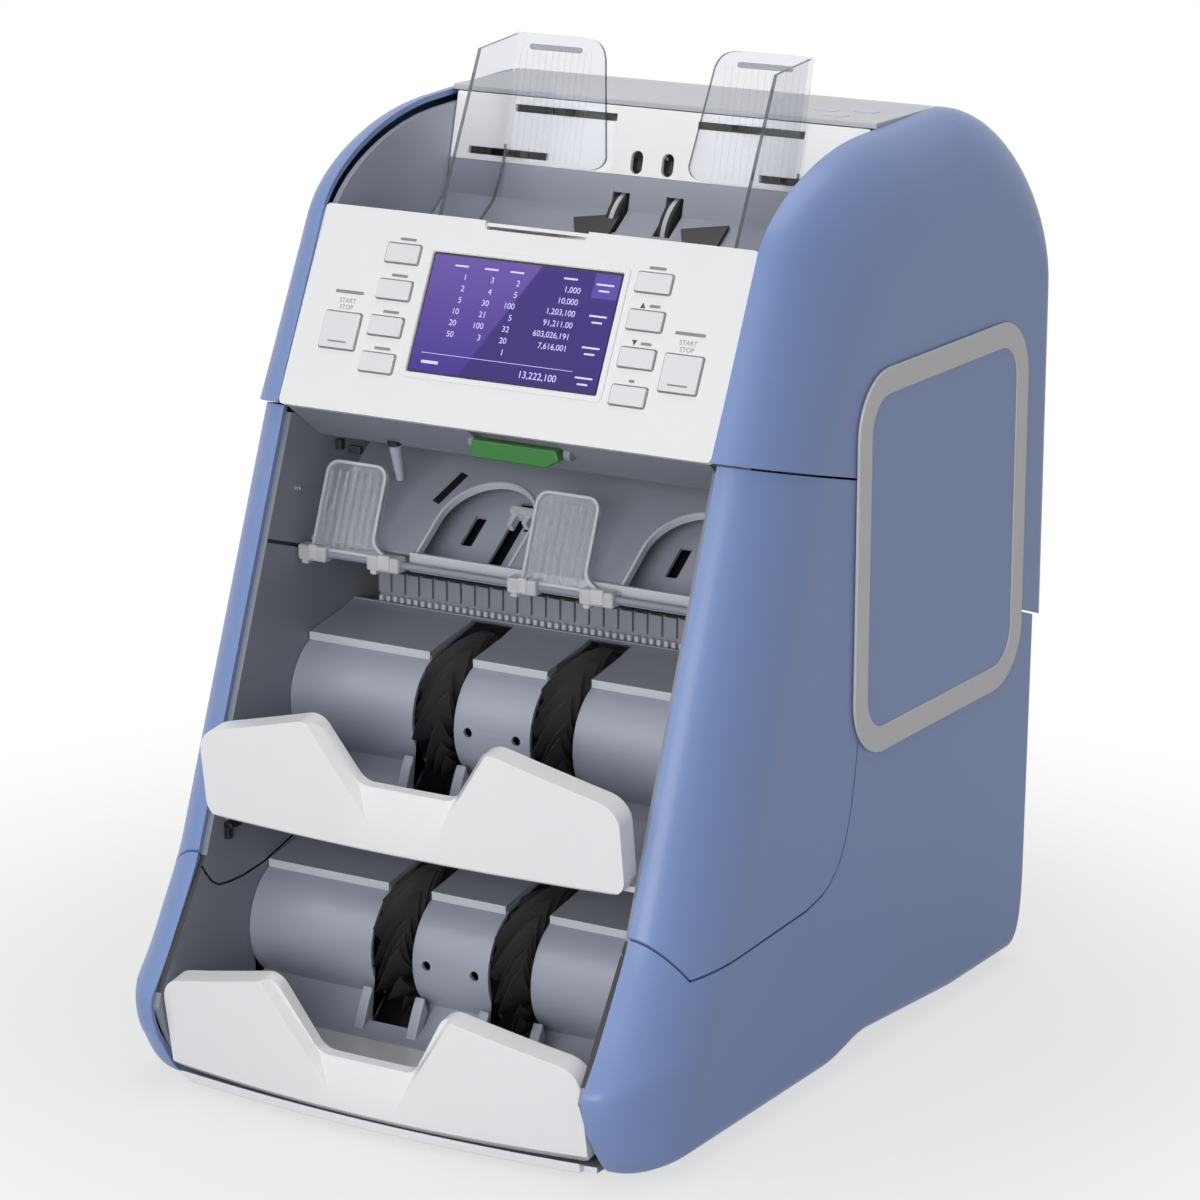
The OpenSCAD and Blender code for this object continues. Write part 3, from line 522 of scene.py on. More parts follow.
def screen_material():
    """Lit display: a violet ground that pales upwards, darker to the right of a slanted line."""
    material, tree, shader = base_material("screen_lit")
    place = add(tree, "SeparateXYZ", ("Vector", add(tree, "TexCoord").outputs["Object"])).outputs
    slant = add(tree, "Math", (0, place["Z"]), (2, place["X"]))
    slant.operation = "MULTIPLY_ADD"
    fill(slant, (1, -0.62))
    right = ranged(tree, slant.outputs["Value"], ("From Min", -0.2472), ("From Max", -0.2452))
    height = ranged(tree, place["Z"], ("From Min", 0.355), ("From Max", 0.412))
    pale = blend(tree, height, linear((66, 44, 150)), linear((112, 88, 178)))
    deep = blend(tree, height, linear((52, 36, 124)), linear((60, 42, 134)))
    tree.links.new(blend(tree, right, pale, deep), shader.inputs["Emission Color"])
    fill(shader, ("Base Color", linear((8, 7, 12))), ("Specular IOR Level", 0.2),
         ("Emission Strength", 0.85), ("Roughness", 0.35))
    return material


def glowing(name, rgb, strength):
    material, _, shader = base_material(name)
    fill(shader, ("Base Color", linear(rgb)), ("Emission Color", linear(rgb)), ("Emission Strength", strength))
    return material


BLUE = moulded("shell_blue_plastic", (118, 141, 190), 0.42, grain=2200, bump=0.05, coat=0.08)
WHITE = moulded("panel_white_plastic", (224, 225, 226), 0.36, bump=0.04, coat=0.1)
TRAY_WHITE = moulded("tray_white_plastic", (230, 231, 233), 0.3, bump=0.03, coat=0.25)
# Brighter white for the upward-facing facet of the trays' notch: painted light.
FACET_PAINTED_LIGHT = moulded("tray_facet_painted_light", (242, 243, 244), 0.3, bump=0.03, coat=0.2)
HOPPER_WHITE = moulded("hopper_white_plastic", (246, 246, 247), 0.36, bump=0.04)
KEY_WHITE = moulded("key_white_plastic", (216, 217, 220), 0.42)
WALL_GRAY = moulded("wall_gray_paint", (130, 134, 145), 0.45)
DECK_GRAY = moulded("deck_gray_plastic", (146, 150, 162), 0.42)
TILE_GRAY = moulded("tile_gray_plastic", (140, 144, 154))
CHUTE_GRAY = moulded("chute_gray_paint", (150, 153, 166))
PLATE_GRAY = moulded("plate_gray_plastic", (150, 154, 166))
DRUM_GRAY = moulded("drum_gray_plastic", (160, 164, 178), 0.38, bump=0.05, coat=0.1)
# Pale grey: own colour of the arch rims and cover ovals, and painted light on the decks' forward faces.
PALE_GRAY_AND_PAINTED_LIGHT = moulded("pale_gray_and_painted_light", (196, 200, 208))
LIGHT_GRAY = moulded("bar_gray_plastic", (188, 191, 198), 0.36)
COVER_GRAY = moulded("cover_gray_plastic", (192, 194, 199))
RING_GRAY = moulded("ring_gray_plastic", (204, 202, 204), 0.4, bump=0.05)
RUBBER = moulded("fin_rubber", (30, 30, 31), 0.75, grain=900, bump=0.25)
BLACK = moulded("black_plastic", (24, 24, 26), 0.45)
GREEN = moulded("lever_green_plastic", (34, 112, 38), 0.35, coat=0.2)
BOARD = moulded("board_green", (24, 92, 52), 0.5)
MOTOR = moulded("motor_black_paint", (40, 41, 43), 0.45, metallic=0.4)
# Gray ink of the panel's print; also painted shade in the gaps around the keys.
GRAY_INK_AND_GAP_SHADE = moulded("gray_ink_and_painted_gap_shade", (132, 134, 138), 0.6)
INK = moulded("label_dark_ink", (70, 72, 76), 0.6)
STEEL = brushed("turned_steel", (190, 192, 196))
BRONZE = brushed("sintered_bronze", (168, 128, 72), 0.4)
CLEAR = see_through("clear_guide_plastic", (232, 233, 236))
# Darker grey for the clear guides' edges: painted shade standing in for the dark look of clear plastic edges.
CLEAR_EDGE_SHADE = see_through("clear_guide_edge_painted_shade", (96, 100, 108), 0.1, 1.03, 0.6)
CLEAR_DASH = see_through("clear_guide_dash", (176, 179, 185), 0.1, 1.03)
CLEAR_FLAP = see_through("clear_flap_plastic", (236, 238, 242), 0.12, 1.1, 0.88)
FROSTED = see_through("frosted_flap_plastic", (226, 228, 233), 0.25, 1.25, 0.45)
SCREEN = screen_material()
SCREEN_TAB = glowing("screen_tab", (70, 52, 140), 0.3)
SCREEN_TEXT = glowing("screen_text", (190, 180, 228), 0.45)


# ---- Side covers ----

def front_at(z):
    return SILL[0] + (z - SILL[1]) * math.tan(FRONT_LEAN)


def recess(y):
    """Height of the lifting recess in the lower edge of the side covers."""
    if -20 < y <= 8:
        t = (y + 20) / 28
        return 8 * t * t * (3 - 2 * t)
    if 8 < y < 114:
        return 8 * (114 - y) / 106
    return 0.0


def low_curves():
    """Outer edge and flat inner edge of the lower cover, point for point."""
    high, inner_high = 420.0, 400.0
    top, inner_top = (front_at(high), high), (front_at(high) + 60, inner_high)
    foot = [(y, 1.6 + recess(y)) for y, _ in line((-184, 0), (190, 0), 70)]
    foot_flat = [(y, 15.6 + 0.7 * recess(y)) for y, _ in line((-146, 0), (180, 0), 70)]
    edge = path((190, 1.6), (8, (200, 2), (205, 18), (205.5, 40)), (6, (LOW_BACK_Y, 189)), (4, (LOW_BACK_Y, high)),
                (8, top), (16, SILL), (6, (-177, 105), (-190, 86), (-198, 73)),
                (6, (-205, 62), (-211, 55.5), (-214.8, 50.6)), (8, (-217, 44), (-213, 30), (-207, 24)),
                (8, (-200, 13), (-195, 2.5), (-184, 1.6)))
    flat = path((180, 15.6), (8, (191, 18), (191, 40), (192, 52)), (6, (195, 189)), (4, (195, inner_high)),
                (8, inner_top), (16, (SILL[0] + 60, 116)), (6, (-117, 105), (-128, 90), (-132, 80)),
                (6, (-136, 72), (-142, 66), (-146, 60)), (8, (-153, 50), (-158, 40), (-158, 32)),
                (8, (-158, 22), (-153, 16), (-146, 15.6)))
    return chain(foot, edge), chain(foot_flat, flat)


def head_curves():
    """The same for the head's cover."""
    s, c = math.sin(PANEL_LEAN), math.cos(PANEL_LEAN)
    top = (PANEL_FOOT[0] + PANEL_H * s - 3, PANEL_FOOT[1] + PANEL_H * c - 2)
    low = (PANEL_FOOT[0] - 150 * s, PANEL_FOOT[1] - 150 * c)
    y, z = ARC_CENTRE
    edge = chain(
        path((low[0], 150), (12, (BACK_Y, 150)), (10, (BACK_Y, z))),
        arc(ARC_CENTRE, BACK_R, BACK_R, 0, 90, 20),
        path((y, COVER_Z), (8, CREST), (16, (CREST[0] - 47, CREST[1] - 3), (top[0] + 11, top[1] + 21), top),
             (10, PANEL_FOOT), (6, low), (2, (low[0], 150))))
    flat = chain(
        path((low[0] + 60, 170), (12, (202, 170)), (10, (202, z - 8))),
        arc((y - 4, z - 8), 81, 52, 0, 90, 20),
        path((y - 4, 422), (8, (78, 420)), (16, (48, 418), (26, 408), (14, 384)),
             (10, (PANEL_FOOT[0] + 64, 330)), (6, (low[0] + 60, 210)), (2, (low[0] + 60, 170))))
    return edge, flat


def cup(name, edge, flat):
    """Hollow cover: rings swell from the edge at the frame to the flat outer face."""
    steps = 14
    points = []
    for start, depth in ((edge, BULGE), (inset(edge, WALL), BULGE - WALL)):
        for k in range(steps + 1):
            a = math.radians(90) * k / steps
            t = 1 - math.cos(a)
            x = FRAME_X + depth * math.sin(a)
            points += [(x, p[0] + (q[0] - p[0]) * t, p[1] + (q[1] - p[1]) * t) for p, q in zip(start, flat)]
    count = len(edge)
    faces = []
    for side in (0, 1):
        base = side * (steps + 1) * count
        for k in range(steps):
            low = base + k * count
            for i in range(count):
                j = (i + 1) % count
                faces.append((low + i, low + j, low + count + j, low + count + i))
        faces.append(tuple(range(base + steps * count, base + (steps + 1) * count)))
    rim = (steps + 1) * count
    faces += [(i, (i + 1) % count, rim + (i + 1) % count, rim + i) for i in range(count)]
    return fix_normals(make_object(name, points, faces, BLUE))


# Seams between the covers; where they meet is hidden below the hatch ring
HIDDEN_Y = RING_Y0 + 13
LOW_SEAM = ([SILL, (SILL[0] + 14, 95), (SILL[0] + 118, 100.5)]
            + bezier((SILL[0] + 126, 102), (SILL[0] + 160, 106), (-8, 138), (-2.5, 172), 10)
            + [(HIDDEN_Y, 202)])
HEAD_SEAM = [(HIDDEN_Y, 308), (PANEL_FOOT[0] - 100, PANEL_FOOT[1] + 24)]
BACK_SEAM = [(182, 200), (LOW_BACK_Y, 191)] + arc((191, 221), 30, 30, -54, 0, 8) + [(600, 221)]


FRONT_OUT = (SILL[0] - 20, 146)
FAR = 600
BASE_REGION = ([(-FAR, -5), (FAR, -5)] + BACK_SEAM[::-1] + [HEAD_SEAM[0]] + LOW_SEAM[::-1]
               + [FRONT_OUT, (-FAR, FRONT_OUT[1])])
COVER_REGION = [FRONT_OUT] + LOW_SEAM + HEAD_SEAM
HEAD_REGION = HEAD_SEAM[::-1] + BACK_SEAM + [(FAR, FAR), (-FAR, FAR), (-FAR, HEAD_SEAM[1][1] + 200)]


def shell_piece(name, node, curves, region):
    """A right-hand cover cut out of its form by the seams, and its mirror image."""
    for side, suffix in ((1, "right"), (-1, "left")):
        form = cup(f"{name}_{suffix}", *curves)
        tool = side_prism("region", inset(region, SEAM / 2), FRAME_X - 5, FRAME_X + BULGE + 5)
        cut(form, tool, "INTERSECT")
        soften(form, 0.6, 2, 50)
        if side < 0:
            form.data.transform(Matrix.Scale(-1, 4, (1, 0, 0)))
            form.data.flip_normals()
        target = f"{node}_{suffix}"
        settle(form, BODY_OF[target], SLOT_OF[target], (target,), 32)


def side_covers():
    low, head = low_curves(), head_curves()
    shell_piece("base_cover", "side_shell", low, BASE_REGION)
    shell_piece("front_side_cover", "front_cover", low, COVER_REGION)
    shell_piece("head_cover", "head_shell", head, HEAD_REGION)
    dress("hatch_rings", RING_GRAY, 0.6, 3)
    dress("hatches", BLUE, 0.3)


# ---- Base ----

LOWER_GROOVE = [(-181, 119.3), (-172, 105.5), (-166, 98.5), (-160, 95.2), (-150, 94.2), (-138, 94.3),
                (-120, 96.5), (-93, 103.9), (-60, 118), (-30, 136)]
UPPER_GROOVE = [(-112.4, 264.7), (-81.7, 255.3)]
GROOVE_DEPTH = 0.8
FRAME_SCREWS = ((-86.2, 286.8, 2.4), (-151.6, 128, 1.8), (-60, 150, 2.2), (-126, 150, 1.6))


def frames():
    for side, sign in (("left", -1), ("right", 1)):
        node = "side_frame_" + side
        obj = copy_of(node, WALL_GRAY)
        faces = sorted((sign * (FRAME_IN - 1), sign * (FRAME_IN + GROOVE_DEPTH)))
        for path, width in ((LOWER_GROOVE, 1.3), (UPPER_GROOVE, 2.0)):
            cut(obj, side_prism("groove", band(path, width), *faces))
        # The groove sides and floors get black: painted shade in the grooves.
        recolour(obj, BLACK, lambda c, n: FRAME_IN + 0.1 < abs(c.x) < FRAME_IN + 1.0)
        settle(obj, "base", SLOT_OF[node], (node,))
        for i, (y, z, r) in enumerate(FRAME_SCREWS):
            profile = [(sign * (FRAME_IN - out), radius)
                       for out, radius in ((-0.2, r), (0.7, r), (1.1, r * 0.7), (0.7, r * 0.5))]
            settle(turned(f"screw_{side}_{i}", (y, z), profile, STEEL, 20), "base", "steel")
    near = -FRAME_IN - 0.1
    latch = merge("tray_latch", [
        block("latch_a", (near, -155, 118), (-FRAME_IN + 3, -151, 126), BLACK, 0.6),
        block("latch_b", (near, -155, 124), (-FRAME_IN + 5, -146, 127), BLACK, 0.6)])
    settle(latch, "base", "black_plastic")


def drums_and_decks():
    """Drums and decks, with the deck's three raised plates, the drum's ramps beside the wheels, and painted light
    on the decks' forward faces.
    """
    run, climb = 44 * math.cos(DECK_SLOPE), 44 * math.sin(DECK_SLOPE)
    for level, (y, z), rise in (("upper", UPPER_AXIS, 203), ("lower", LOWER_AXIS, 91)):
        dress(level + "_drum", DRUM_GRAY, 0.3, 2, 25)
        deck = dress(level + "_deck", DECK_GRAY)
        # Forward faces of the deck's front edge get the pale grey: painted light where they face the lamps.
        recolour(deck, PALE_GRAY_AND_PAINTED_LIGHT, lambda c, n: n.y < -0.75 and c.z < rise + 6)
        low, high = (y - 14.6, z + 28.6), (y - 14.6, z + 33.2)
        plate_side = [(low[0] + run, low[1] + climb - 2), (high[0] + run, high[1] + climb - 3.2), high, low]
        for i, (x0, x1) in enumerate(((-122.3, -47.8), (-22.2, 22.2), (47.8, 122.3))):
            plate = soften(side_prism(f"{level}_deck_plate_{i}", plate_side, x0, x1, DECK_GRAY), 0.6)
            # The raised plates' forward faces get the pale grey too: painted light.
            recolour(plate, PALE_GRAY_AND_PAINTED_LIGHT, lambda c, n: n.y < -0.6)
            settle(plate, "base", "inner_gray")
        ramp_side = [(y - 30, z - 18), (y - 33.5, z - 24), (y - 40, z - 38), (y - 34, z - 38), (y - 27, z - 26)]
        for wheel in (-WHEEL_X, WHEEL_X):
            for side in (-1, 1):
                near = wheel + side * 12.8
                x0, x1 = sorted((near, near + side * 6))
                ramp = side_prism(f"{level}_ramp_{wheel:.0f}_{side}", ramp_side, x0, x1, DRUM_GRAY)
                settle(soften(ramp, 0.8, 3), "base", "inner_gray")


def trays():
    """Note trays, and the bowed strip below the lower tray's front edge."""
    for level, floor, wall in (("upper", 137.4, -160), ("lower", 25.4, -192)):
        tray = dress(level + "_tray", TRAY_WHITE, 1.3, 4, 32)
        recolour(tray, DRUM_GRAY, lambda c, n: c.z < floor + 0.2 and c.y > wall and abs(n.z) > 0.5)
        # The notch's facet faces up and forward and takes the brighter white: painted light.
        recolour(tray, FACET_PAINTED_LIGHT, lambda c, n: abs(c.x) < 30 and n.z > 0.3 and n.y < -0.6)
    across = [x * 4 for x in range(-29, 30)]
    section = ((-203, 3.7), (-207.6, 3.7), (-208.4, 8.9), (-203.6, 6.8))
    points, faces = [], []
    for x in across:
        bow = TRAY_BEND - math.sqrt(TRAY_BEND ** 2 - x * x)
        points += [(x, y + bow, z) for y, z in section]
    for i in range(len(across) - 1):
        for k in range(4):
            faces.append((4 * i + k, 4 * i + (k + 1) % 4, 4 * i + (k + 1) % 4 + 4, 4 * i + k + 4))
    faces += [(0, 1, 2, 3), tuple(4 * len(across) - 4 + k for k in range(4))]
    skirt = fix_normals(make_object("tray_skirt", points, faces, TRAY_WHITE))
    settle(soften(skirt, 0.6, 3, 40), "base", "tray_white")


def stacker_wheels(level, axis, seed):
    """Pair of rubber wheels; each fin is a thin twisted blade with a slanted, pointed tip."""
    rng = random.Random(seed)
    fins, across, along = 22, 6, 8
    twist, sweep = math.radians(58), math.radians(30)
    root = 12.0
    points, faces = [], []
    for wheel in (-WHEEL_X, WHEEL_X):
        for i in range(fins):
            base = 2 * math.pi * (i + rng.uniform(-0.25, 0.25)) / fins
            trim, lean, skew = rng.uniform(0, 5.5), rng.uniform(-0.12, 0.14), rng.uniform(0.75, 1.25)
            shift = rng.uniform(-0.6, 0.6)
            start = len(points)
            for skin in (1, -1):
                for v in range(along + 1):
                    for u in range(across + 1):
                        p, q = u / across, v / along
                        tip = WHEEL_R - 0.2 - trim - 12 * abs(0.82 - p) ** 1.15
                        r = root + (tip - root) * q
                        a = base - twist * skew * (p - 0.5) * (0.25 + 0.75 * q) - (sweep + lean) * q ** 1.5
                        a += skin * (1.1 - 0.8 * q) / r
                        x = wheel + (p - 0.5) * FIN_W + shift * q
                        points.append((x, axis[0] + r * math.cos(a), axis[1] + r * math.sin(a)))
            row, skin_size = across + 1, (across + 1) * (along + 1)
            for v in range(along):
                for u in range(across):
                    k = start + v * row + u
                    faces.append((k, k + 1, k + row + 1, k + row))
                    m = k + skin_size
                    faces.append((m, m + row, m + row + 1, m + 1))
            border = list(range(row)) + [v * row + across for v in range(1, along + 1)]
            border += [along * row + u for u in range(across - 1, -1, -1)]
            border += [v * row for v in range(along - 1, 0, -1)]
            for k, n in zip(border, border[1:] + border[:1]):
                faces.append((start + n, start + k, start + k + skin_size, start + n + skin_size))
    parts = [fix_normals(make_object(f"{level}_fins", points, faces, RUBBER))]
    for wheel in (-WHEEL_X, WHEEL_X):
        profile = ((wheel - 10, 4.2), (wheel - 10, 14), (wheel + 10, 14), (wheel + 10, 4.2))
        parts.append(turned("hub", axis, profile, RUBBER))
    wheels = merge(f"{level}_wheel_pair", parts)
    settle(wheels, f"{level}_stacker", "rubber_black", (f"{level}_wheels",), 28)


def inside_and_rear():
    paint(STEEL, "power_supply", "hinge_brackets", "upper_shaft", "lower_shaft", "motor_pulley", "guide_pinion")
    paint(MOTOR, "drive_motor")
    paint(BOARD, "main_board")
    paint(BRONZE, "shaft_bushes")
    paint(RUBBER, "drive_belts")
    pan = dress("base_pan", WALL_GRAY, 0.3)
    recolour(pan, TRAY_WHITE, lambda c, n: c.y < -190)
    dress("rubber_feet", RUBBER, 0.6, 3)
    dress("rear_cover", COVER_GRAY, 0.5)
    dress("power_inlet", BLACK)
    dress("rocker_switch", BLACK, 0.5, 3)
    pins = [block("pin", (-70 + x - 1.2, 195, 42 + z - 2), (-70 + x + 1.2, 205, 42 + z + 2), STEEL, 0.3)
            for x, z in ((-6, -1.5), (0, 2), (6, -1.5))]
    settle(merge("inlet_pins", pins), "base", "steel")
    screws = []
    for x, z in ((-116, 14), (116, 14), (-100, 176), (100, 176)):
        screw = turned("rear_screw", (0, 0), ((0, 3.2), (0.9, 3.2), (1.3, 2.0), (0.9, 1.4)), STEEL, 20)
        place = Matrix.Translation(Vector((x, LOW_BACK_Y - 0.1, z)) * MM)
        screw.data.transform(place @ Matrix.Rotation(math.pi / 2, 4, "Z"))
        screws.append(screw)
    settle(merge("rear_screws", screws), "base", "steel")


# ---- Reject pocket ----

def arch(x, grow):
    """Outline of a plate's half-round opening from foot to foot, moved outwards."""
    r = ARCH_R + grow
    return [(x - r, -1.0)] + arc((x, ARCH_R - 1), r, r, 180, 0, 28) + [(x + r, -1.0)]


def reject_pocket():
    """The pocket's plate and bar, and the note path that shows through the plate's arches, with a black sheet
    behind it as painted shade.
    """
    dress("reject_plate", PLATE_GRAY, 0.5)
    bar = dress("reject_bar", LIGHT_GRAY, 0.5)
    recolour(bar, WALL_GRAY, lambda c, n: math.dist((c.y, c.z), ROD) < 2.4)
    for i, x in enumerate(ARCHES):
        rim = prism(f"arch_rim_{i}", arch(x, 1.2) + arch(x, -0.4)[::-1], -3.4, 1.0, on_plate, PALE_GRAY_AND_PAINTED_LIGHT)
        settle(soften(rim, 0.4), "base", "inner_gray")
    back = prism("path_plate", rounded_box(-122, 122, 6, 84, 1, 2), 14, 16, on_plate, DRUM_GRAY)
    for x in ARCHES:
        for dx, along, width, height in ((-16, 33, 7, 20), (6, 34, 8, 44), (19, 42, 16, 9)):
            cut(back, prism("hole", centred_box(x + dx, along, width, height, 1, 2), 12, 18, on_plate))
    settle(back, "base", "inner_gray")
    # Black sheet behind the path plate, seen through its holes: painted shade of the machine's inside.
    dark = prism("path_painted_shade", rounded_box(-121.5, 121.5, 12, 84, 1, 2), 22, 23, on_plate, BLACK)
    settle(dark, "base", "black_plastic")
    for i, x in enumerate(ARCHES):
        parts = []
        for x0, x1, low, high, depth in ((3, 24, 43, 47, 6), (4, 7, 36, 44, 8), (12, 15, 38, 44, 8)):
            outline = rounded_box(x + x0, x + x1, low, high, 0.6, 2)
            parts.append(prism("bracket", outline, depth, 13, on_plate, LIGHT_GRAY))
        settle(soften(merge(f"sensor_bracket_{i}", parts), 0.3), "base", "inner_gray")
    # Black strip on the plate for a slanted slot: painted shade in the slot.
    slant = prism("slant_slot_painted_shade", band([(-64, 35), (-57, 56)], 5), -2.55, -2.0, on_plate, BLACK)
    settle(slant, "base", "black_plastic")


def comb():
    """Row of tiles with two knuckles below each, along the back of the upper deck."""
    (x, y0, z0), (end, y1, z1) = ([v / MM for v in corner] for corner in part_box("comb_guide"))
    parts = [block("comb_back", (x, y0 + 3, z0), (end, y1, z1), TILE_GRAY, 0.4)]
    pitch, gap = 8.6, 0.6
    while x + pitch < end:
        parts.append(block("tile", (x + gap, y0 + 0.9, z0 + 7), (x + pitch - gap, y0 + 3.4, z1), TILE_GRAY))
        for dx in (1.0, 5.3):
            low, high = (x + dx, y0 + 0.05, z0 + 0.6), (x + dx + 2.6, y0 + 3.4, z0 + 5.6)
            parts.append(block("knuckle", low, high, LIGHT_GRAY, 0.9, 3))
        x += pitch
    settle(merge("comb_rows", parts), "base", SLOT_OF["comb_guide"], ("comb_guide",))


def flap(node, x0):
    """Clear ribbed flap with a rounded rim, a stepped foot and two clips on the rod."""
    lean = Matrix.Rotation(-math.radians(21), 4, "X")
    height, width, corner = 48.5, 37.0, 7
    y0, z0 = ROD

    def place(x, z, depth):
        p = lean @ Vector((0, depth, z))
        return (x0 + x, y0 + p.y, z0 + p.z)

    foot = bezier((width, 12), (width + 0.5, 5), (width + 8, 6), (width + 9, 1), 8)
    outline = chain([(0, 1)], [(width + 9, 1)], foot[::-1],
                    arc((width - corner, height - corner), corner, corner, 0, 90, 8),
                    arc((corner, height - corner), corner, corner, 90, 180, 8))
    parts = [soften(prism("sheet", outline, -0.8, 0.8, place, CLEAR_FLAP), 0.4)]
    parts.append(soften(ring("rim", outline, inset(outline, 1.8), -1.9, 1.9, place, FROSTED), 0.5))
    for i in range(7):
        x = 4.4 + i * (width - 9) / 6
        rib = rounded_box(x - 0.7, x + 0.7, 4, height - 5, 0.6, 2)
        parts.append(soften(prism("rib", rib, -2.5, 0, place, CLEAR_FLAP), 0.3))
    for start, end in ((-6, 11), (36, 55.5)):
        clip = (((start, -4.4, -4), (end, 3.9, 4), 1.2),
                ((start + 7, -5.2, -3), (end - 5, -3, 5), 0.9),
                ((start + 2, -4, -6), (start + 6, 1, -2), 0.8))
        for *corners, bevel in clip:
            low, high = ((x0 + x, y0 + y, z0 + z) for x, y, z in corners)
            parts.append(block("clip", low, high, FROSTED, bevel, 3))
    settle(merge(node + "_moulding", parts), node, "clear_plastic", (node,))


# ---- Head ----

SCREEN_W, SCREEN_H, SCREEN_ROW = 110.7, 62.3, 25.0
KEY_W, KEY_H, START_W, START_H = 19.3, 9.5, 20.8, 18.5
KEY_ROWS = (84.0, 65.0, 46.0, 27.0)
KEY_X, START_X, START_ROW = 73.0, 99.0, 41.0
LABEL_RISE = 7.6


def key_gap_shade(name, x, row, width, height):
    """Gray ring around a key's opening: painted shade in the gap around the key."""
    outlines = [centred_box(x, row, width + 2 * d, height + 2 * d, 0.6 + d, 4) for d in (0.85, 0.35)]
    settle(ring(name, *outlines, -0.05, 0.1, on_panel, GRAY_INK_AND_GAP_SHADE), "head", "panel_white")


def control_panel():
    panel = copy_of("control_panel", WHITE)
    notch = rounded_box(-30, 30, PANEL_H - 4.6, PANEL_H + 10, 2.5, 4)
    cut(panel, prism("notch", notch, -1, 1.5, on_panel))
    soften(panel, 1.1, 3, 40)
    settle(panel, "head", SLOT_OF["control_panel"], ("control_panel",))
    floor = rounded_box(-29.6, 29.6, PANEL_H - 5, PANEL_H - 0.6, 0.5, 3)
    settle(soften(prism("notch_floor", floor, 1.5, 3.8, on_panel, WHITE), 0.4), "head", "panel_white")
    edge, inner, face = (rounded_box(-SCREEN_W / 2 - d, SCREEN_W / 2 + d, SCREEN_ROW - rim,
                                     SCREEN_ROW + SCREEN_H + rim, radius, steps)
                         for d, rim, radius, steps in ((3.4, 3, 2.4, 5), (0.2, 0.2, 0.8, 5), (-1.1, -1.1, 0.4, 3)))
    settle(soften(ring("screen_bezel", edge, inner, -0.7, 0.5, on_panel, WHITE), 0.35, 3), "head", "panel_white")
    dress("screen_module", BLACK, 0)
    settle(prism("screen_face", face, 0.3, 0.8, on_panel, SCREEN), "head", "screen")
    for side in (-1, 1):
        # Gray rings around the keys: painted shade in their gaps.
        for i, row in enumerate(KEY_ROWS):
            key_gap_shade(f"key_gap_shade_{side}_{i}", side * KEY_X, row, KEY_W, KEY_H)
        key_gap_shade(f"start_gap_shade_{side}", side * START_X, START_ROW, START_W, START_H)
    for i, row in enumerate(KEY_ROWS):
        dress(f"key_left_{i + 1}", KEY_WHITE, 0.6, 3)
        dress(f"key_right_{i + 1}", KEY_WHITE, 0.6, 3)
        row += LABEL_RISE
        mark(f"label_left_{i + 1}", -KEY_X + 1, row, 9.5, 1.5)
        dx, width = ((0, 9.5), (3.2, 6), (3.2, 6), (0, 3))[i]
        mark(f"label_right_{i + 1}", KEY_X + dx, row, width, 1.5)
        if i in (1, 2):
            tip = 1.5 if i == 1 else -1.5
            arrow = [(KEY_X - 5, row - tip), (KEY_X - 2, row - tip), (KEY_X - 3.5, row + tip)]
            settle(prism(f"arrow_{i}", arrow, -0.05, 0.1, on_panel, INK), "head", "panel_white")
    for side, name in ((-1, "left"), (1, "right")):
        x = side * START_X
        dress(f"start_key_{name}", KEY_WHITE, 0.8, 3)
        mark(f"start_line_{name}", x, START_ROW + 20.2, 17, 1.7)
        letters(f"start_word_{name}", "START", x, START_ROW + 15.6, 3.4, GRAY_INK_AND_GAP_SHADE, "panel_white")
        letters(f"stop_word_{name}", "STOP", x, START_ROW + 12.2, 3.4, GRAY_INK_AND_GAP_SHADE, "panel_white")
        mark(f"start_mark_{name}", x, START_ROW - 6, 11, 0.9, depth=-1.4)


def screen_picture():
    """Counting table: rows of numbers, a ruled line and the sum."""
    def number(name, text, x, row, size):
        letters(name, text, x, row, size, SCREEN_TEXT, "screen", "RIGHT", 0.26)

    def bar(name, x, row, width, height):
        mark(name, x, row, width, height, SCREEN_TEXT, "screen", 0.27)

    screen_top = SCREEN_ROW + SCREEN_H
    top, pitch = screen_top - 11.5, 5.9
    rows = (("1", "3", "2", "1,000"), ("2", "4", "5", "10,000"), ("5", "30", "100", "1,203,100"),
            ("10", "21", "5", "91,211.00"), ("20", "100", "32", "603,026,191"), ("50", "3", "20", "7,616,001"),
            ("", "", "1", ""))
    columns = (-33.0, -17.0, -2.0, 33.0)
    for i, row in enumerate(rows):
        for j, text in enumerate(row):
            if text:
                number(f"count_{i}_{j}", text, columns[j], top - i * pitch, 4.3)
    for j, x in enumerate((-37.5, -20, -5, 26)):
        bar(f"column_title_{j}", x, top + 5.6, 8, 0.9)
    bar("sum_rule", -5, SCREEN_ROW + 10.6, 88, 0.25)
    bar("sum_title", -43, SCREEN_ROW + 6, 10, 1.5)
    number("sum", "13,222,100", 31.0, SCREEN_ROW + 5.6, 5.0)
    for i, row in enumerate((SCREEN_H - 7, SCREEN_H - 23, SCREEN_H - 39, 8)):
        for k in (0, 1):
            bar(f"soft_key_{i}_{k}", 46, SCREEN_ROW + row - 3.2 * k, 10 - 4 * k, 0.9)
    tab = rounded_box(39.5, SCREEN_W / 2 - 1.4, screen_top - 14, screen_top - 1.4, 0.8, 3)
    settle(prism("soft_key_tab", tab, 0.28, 0.5, on_panel, SCREEN_TAB), "head", "screen")


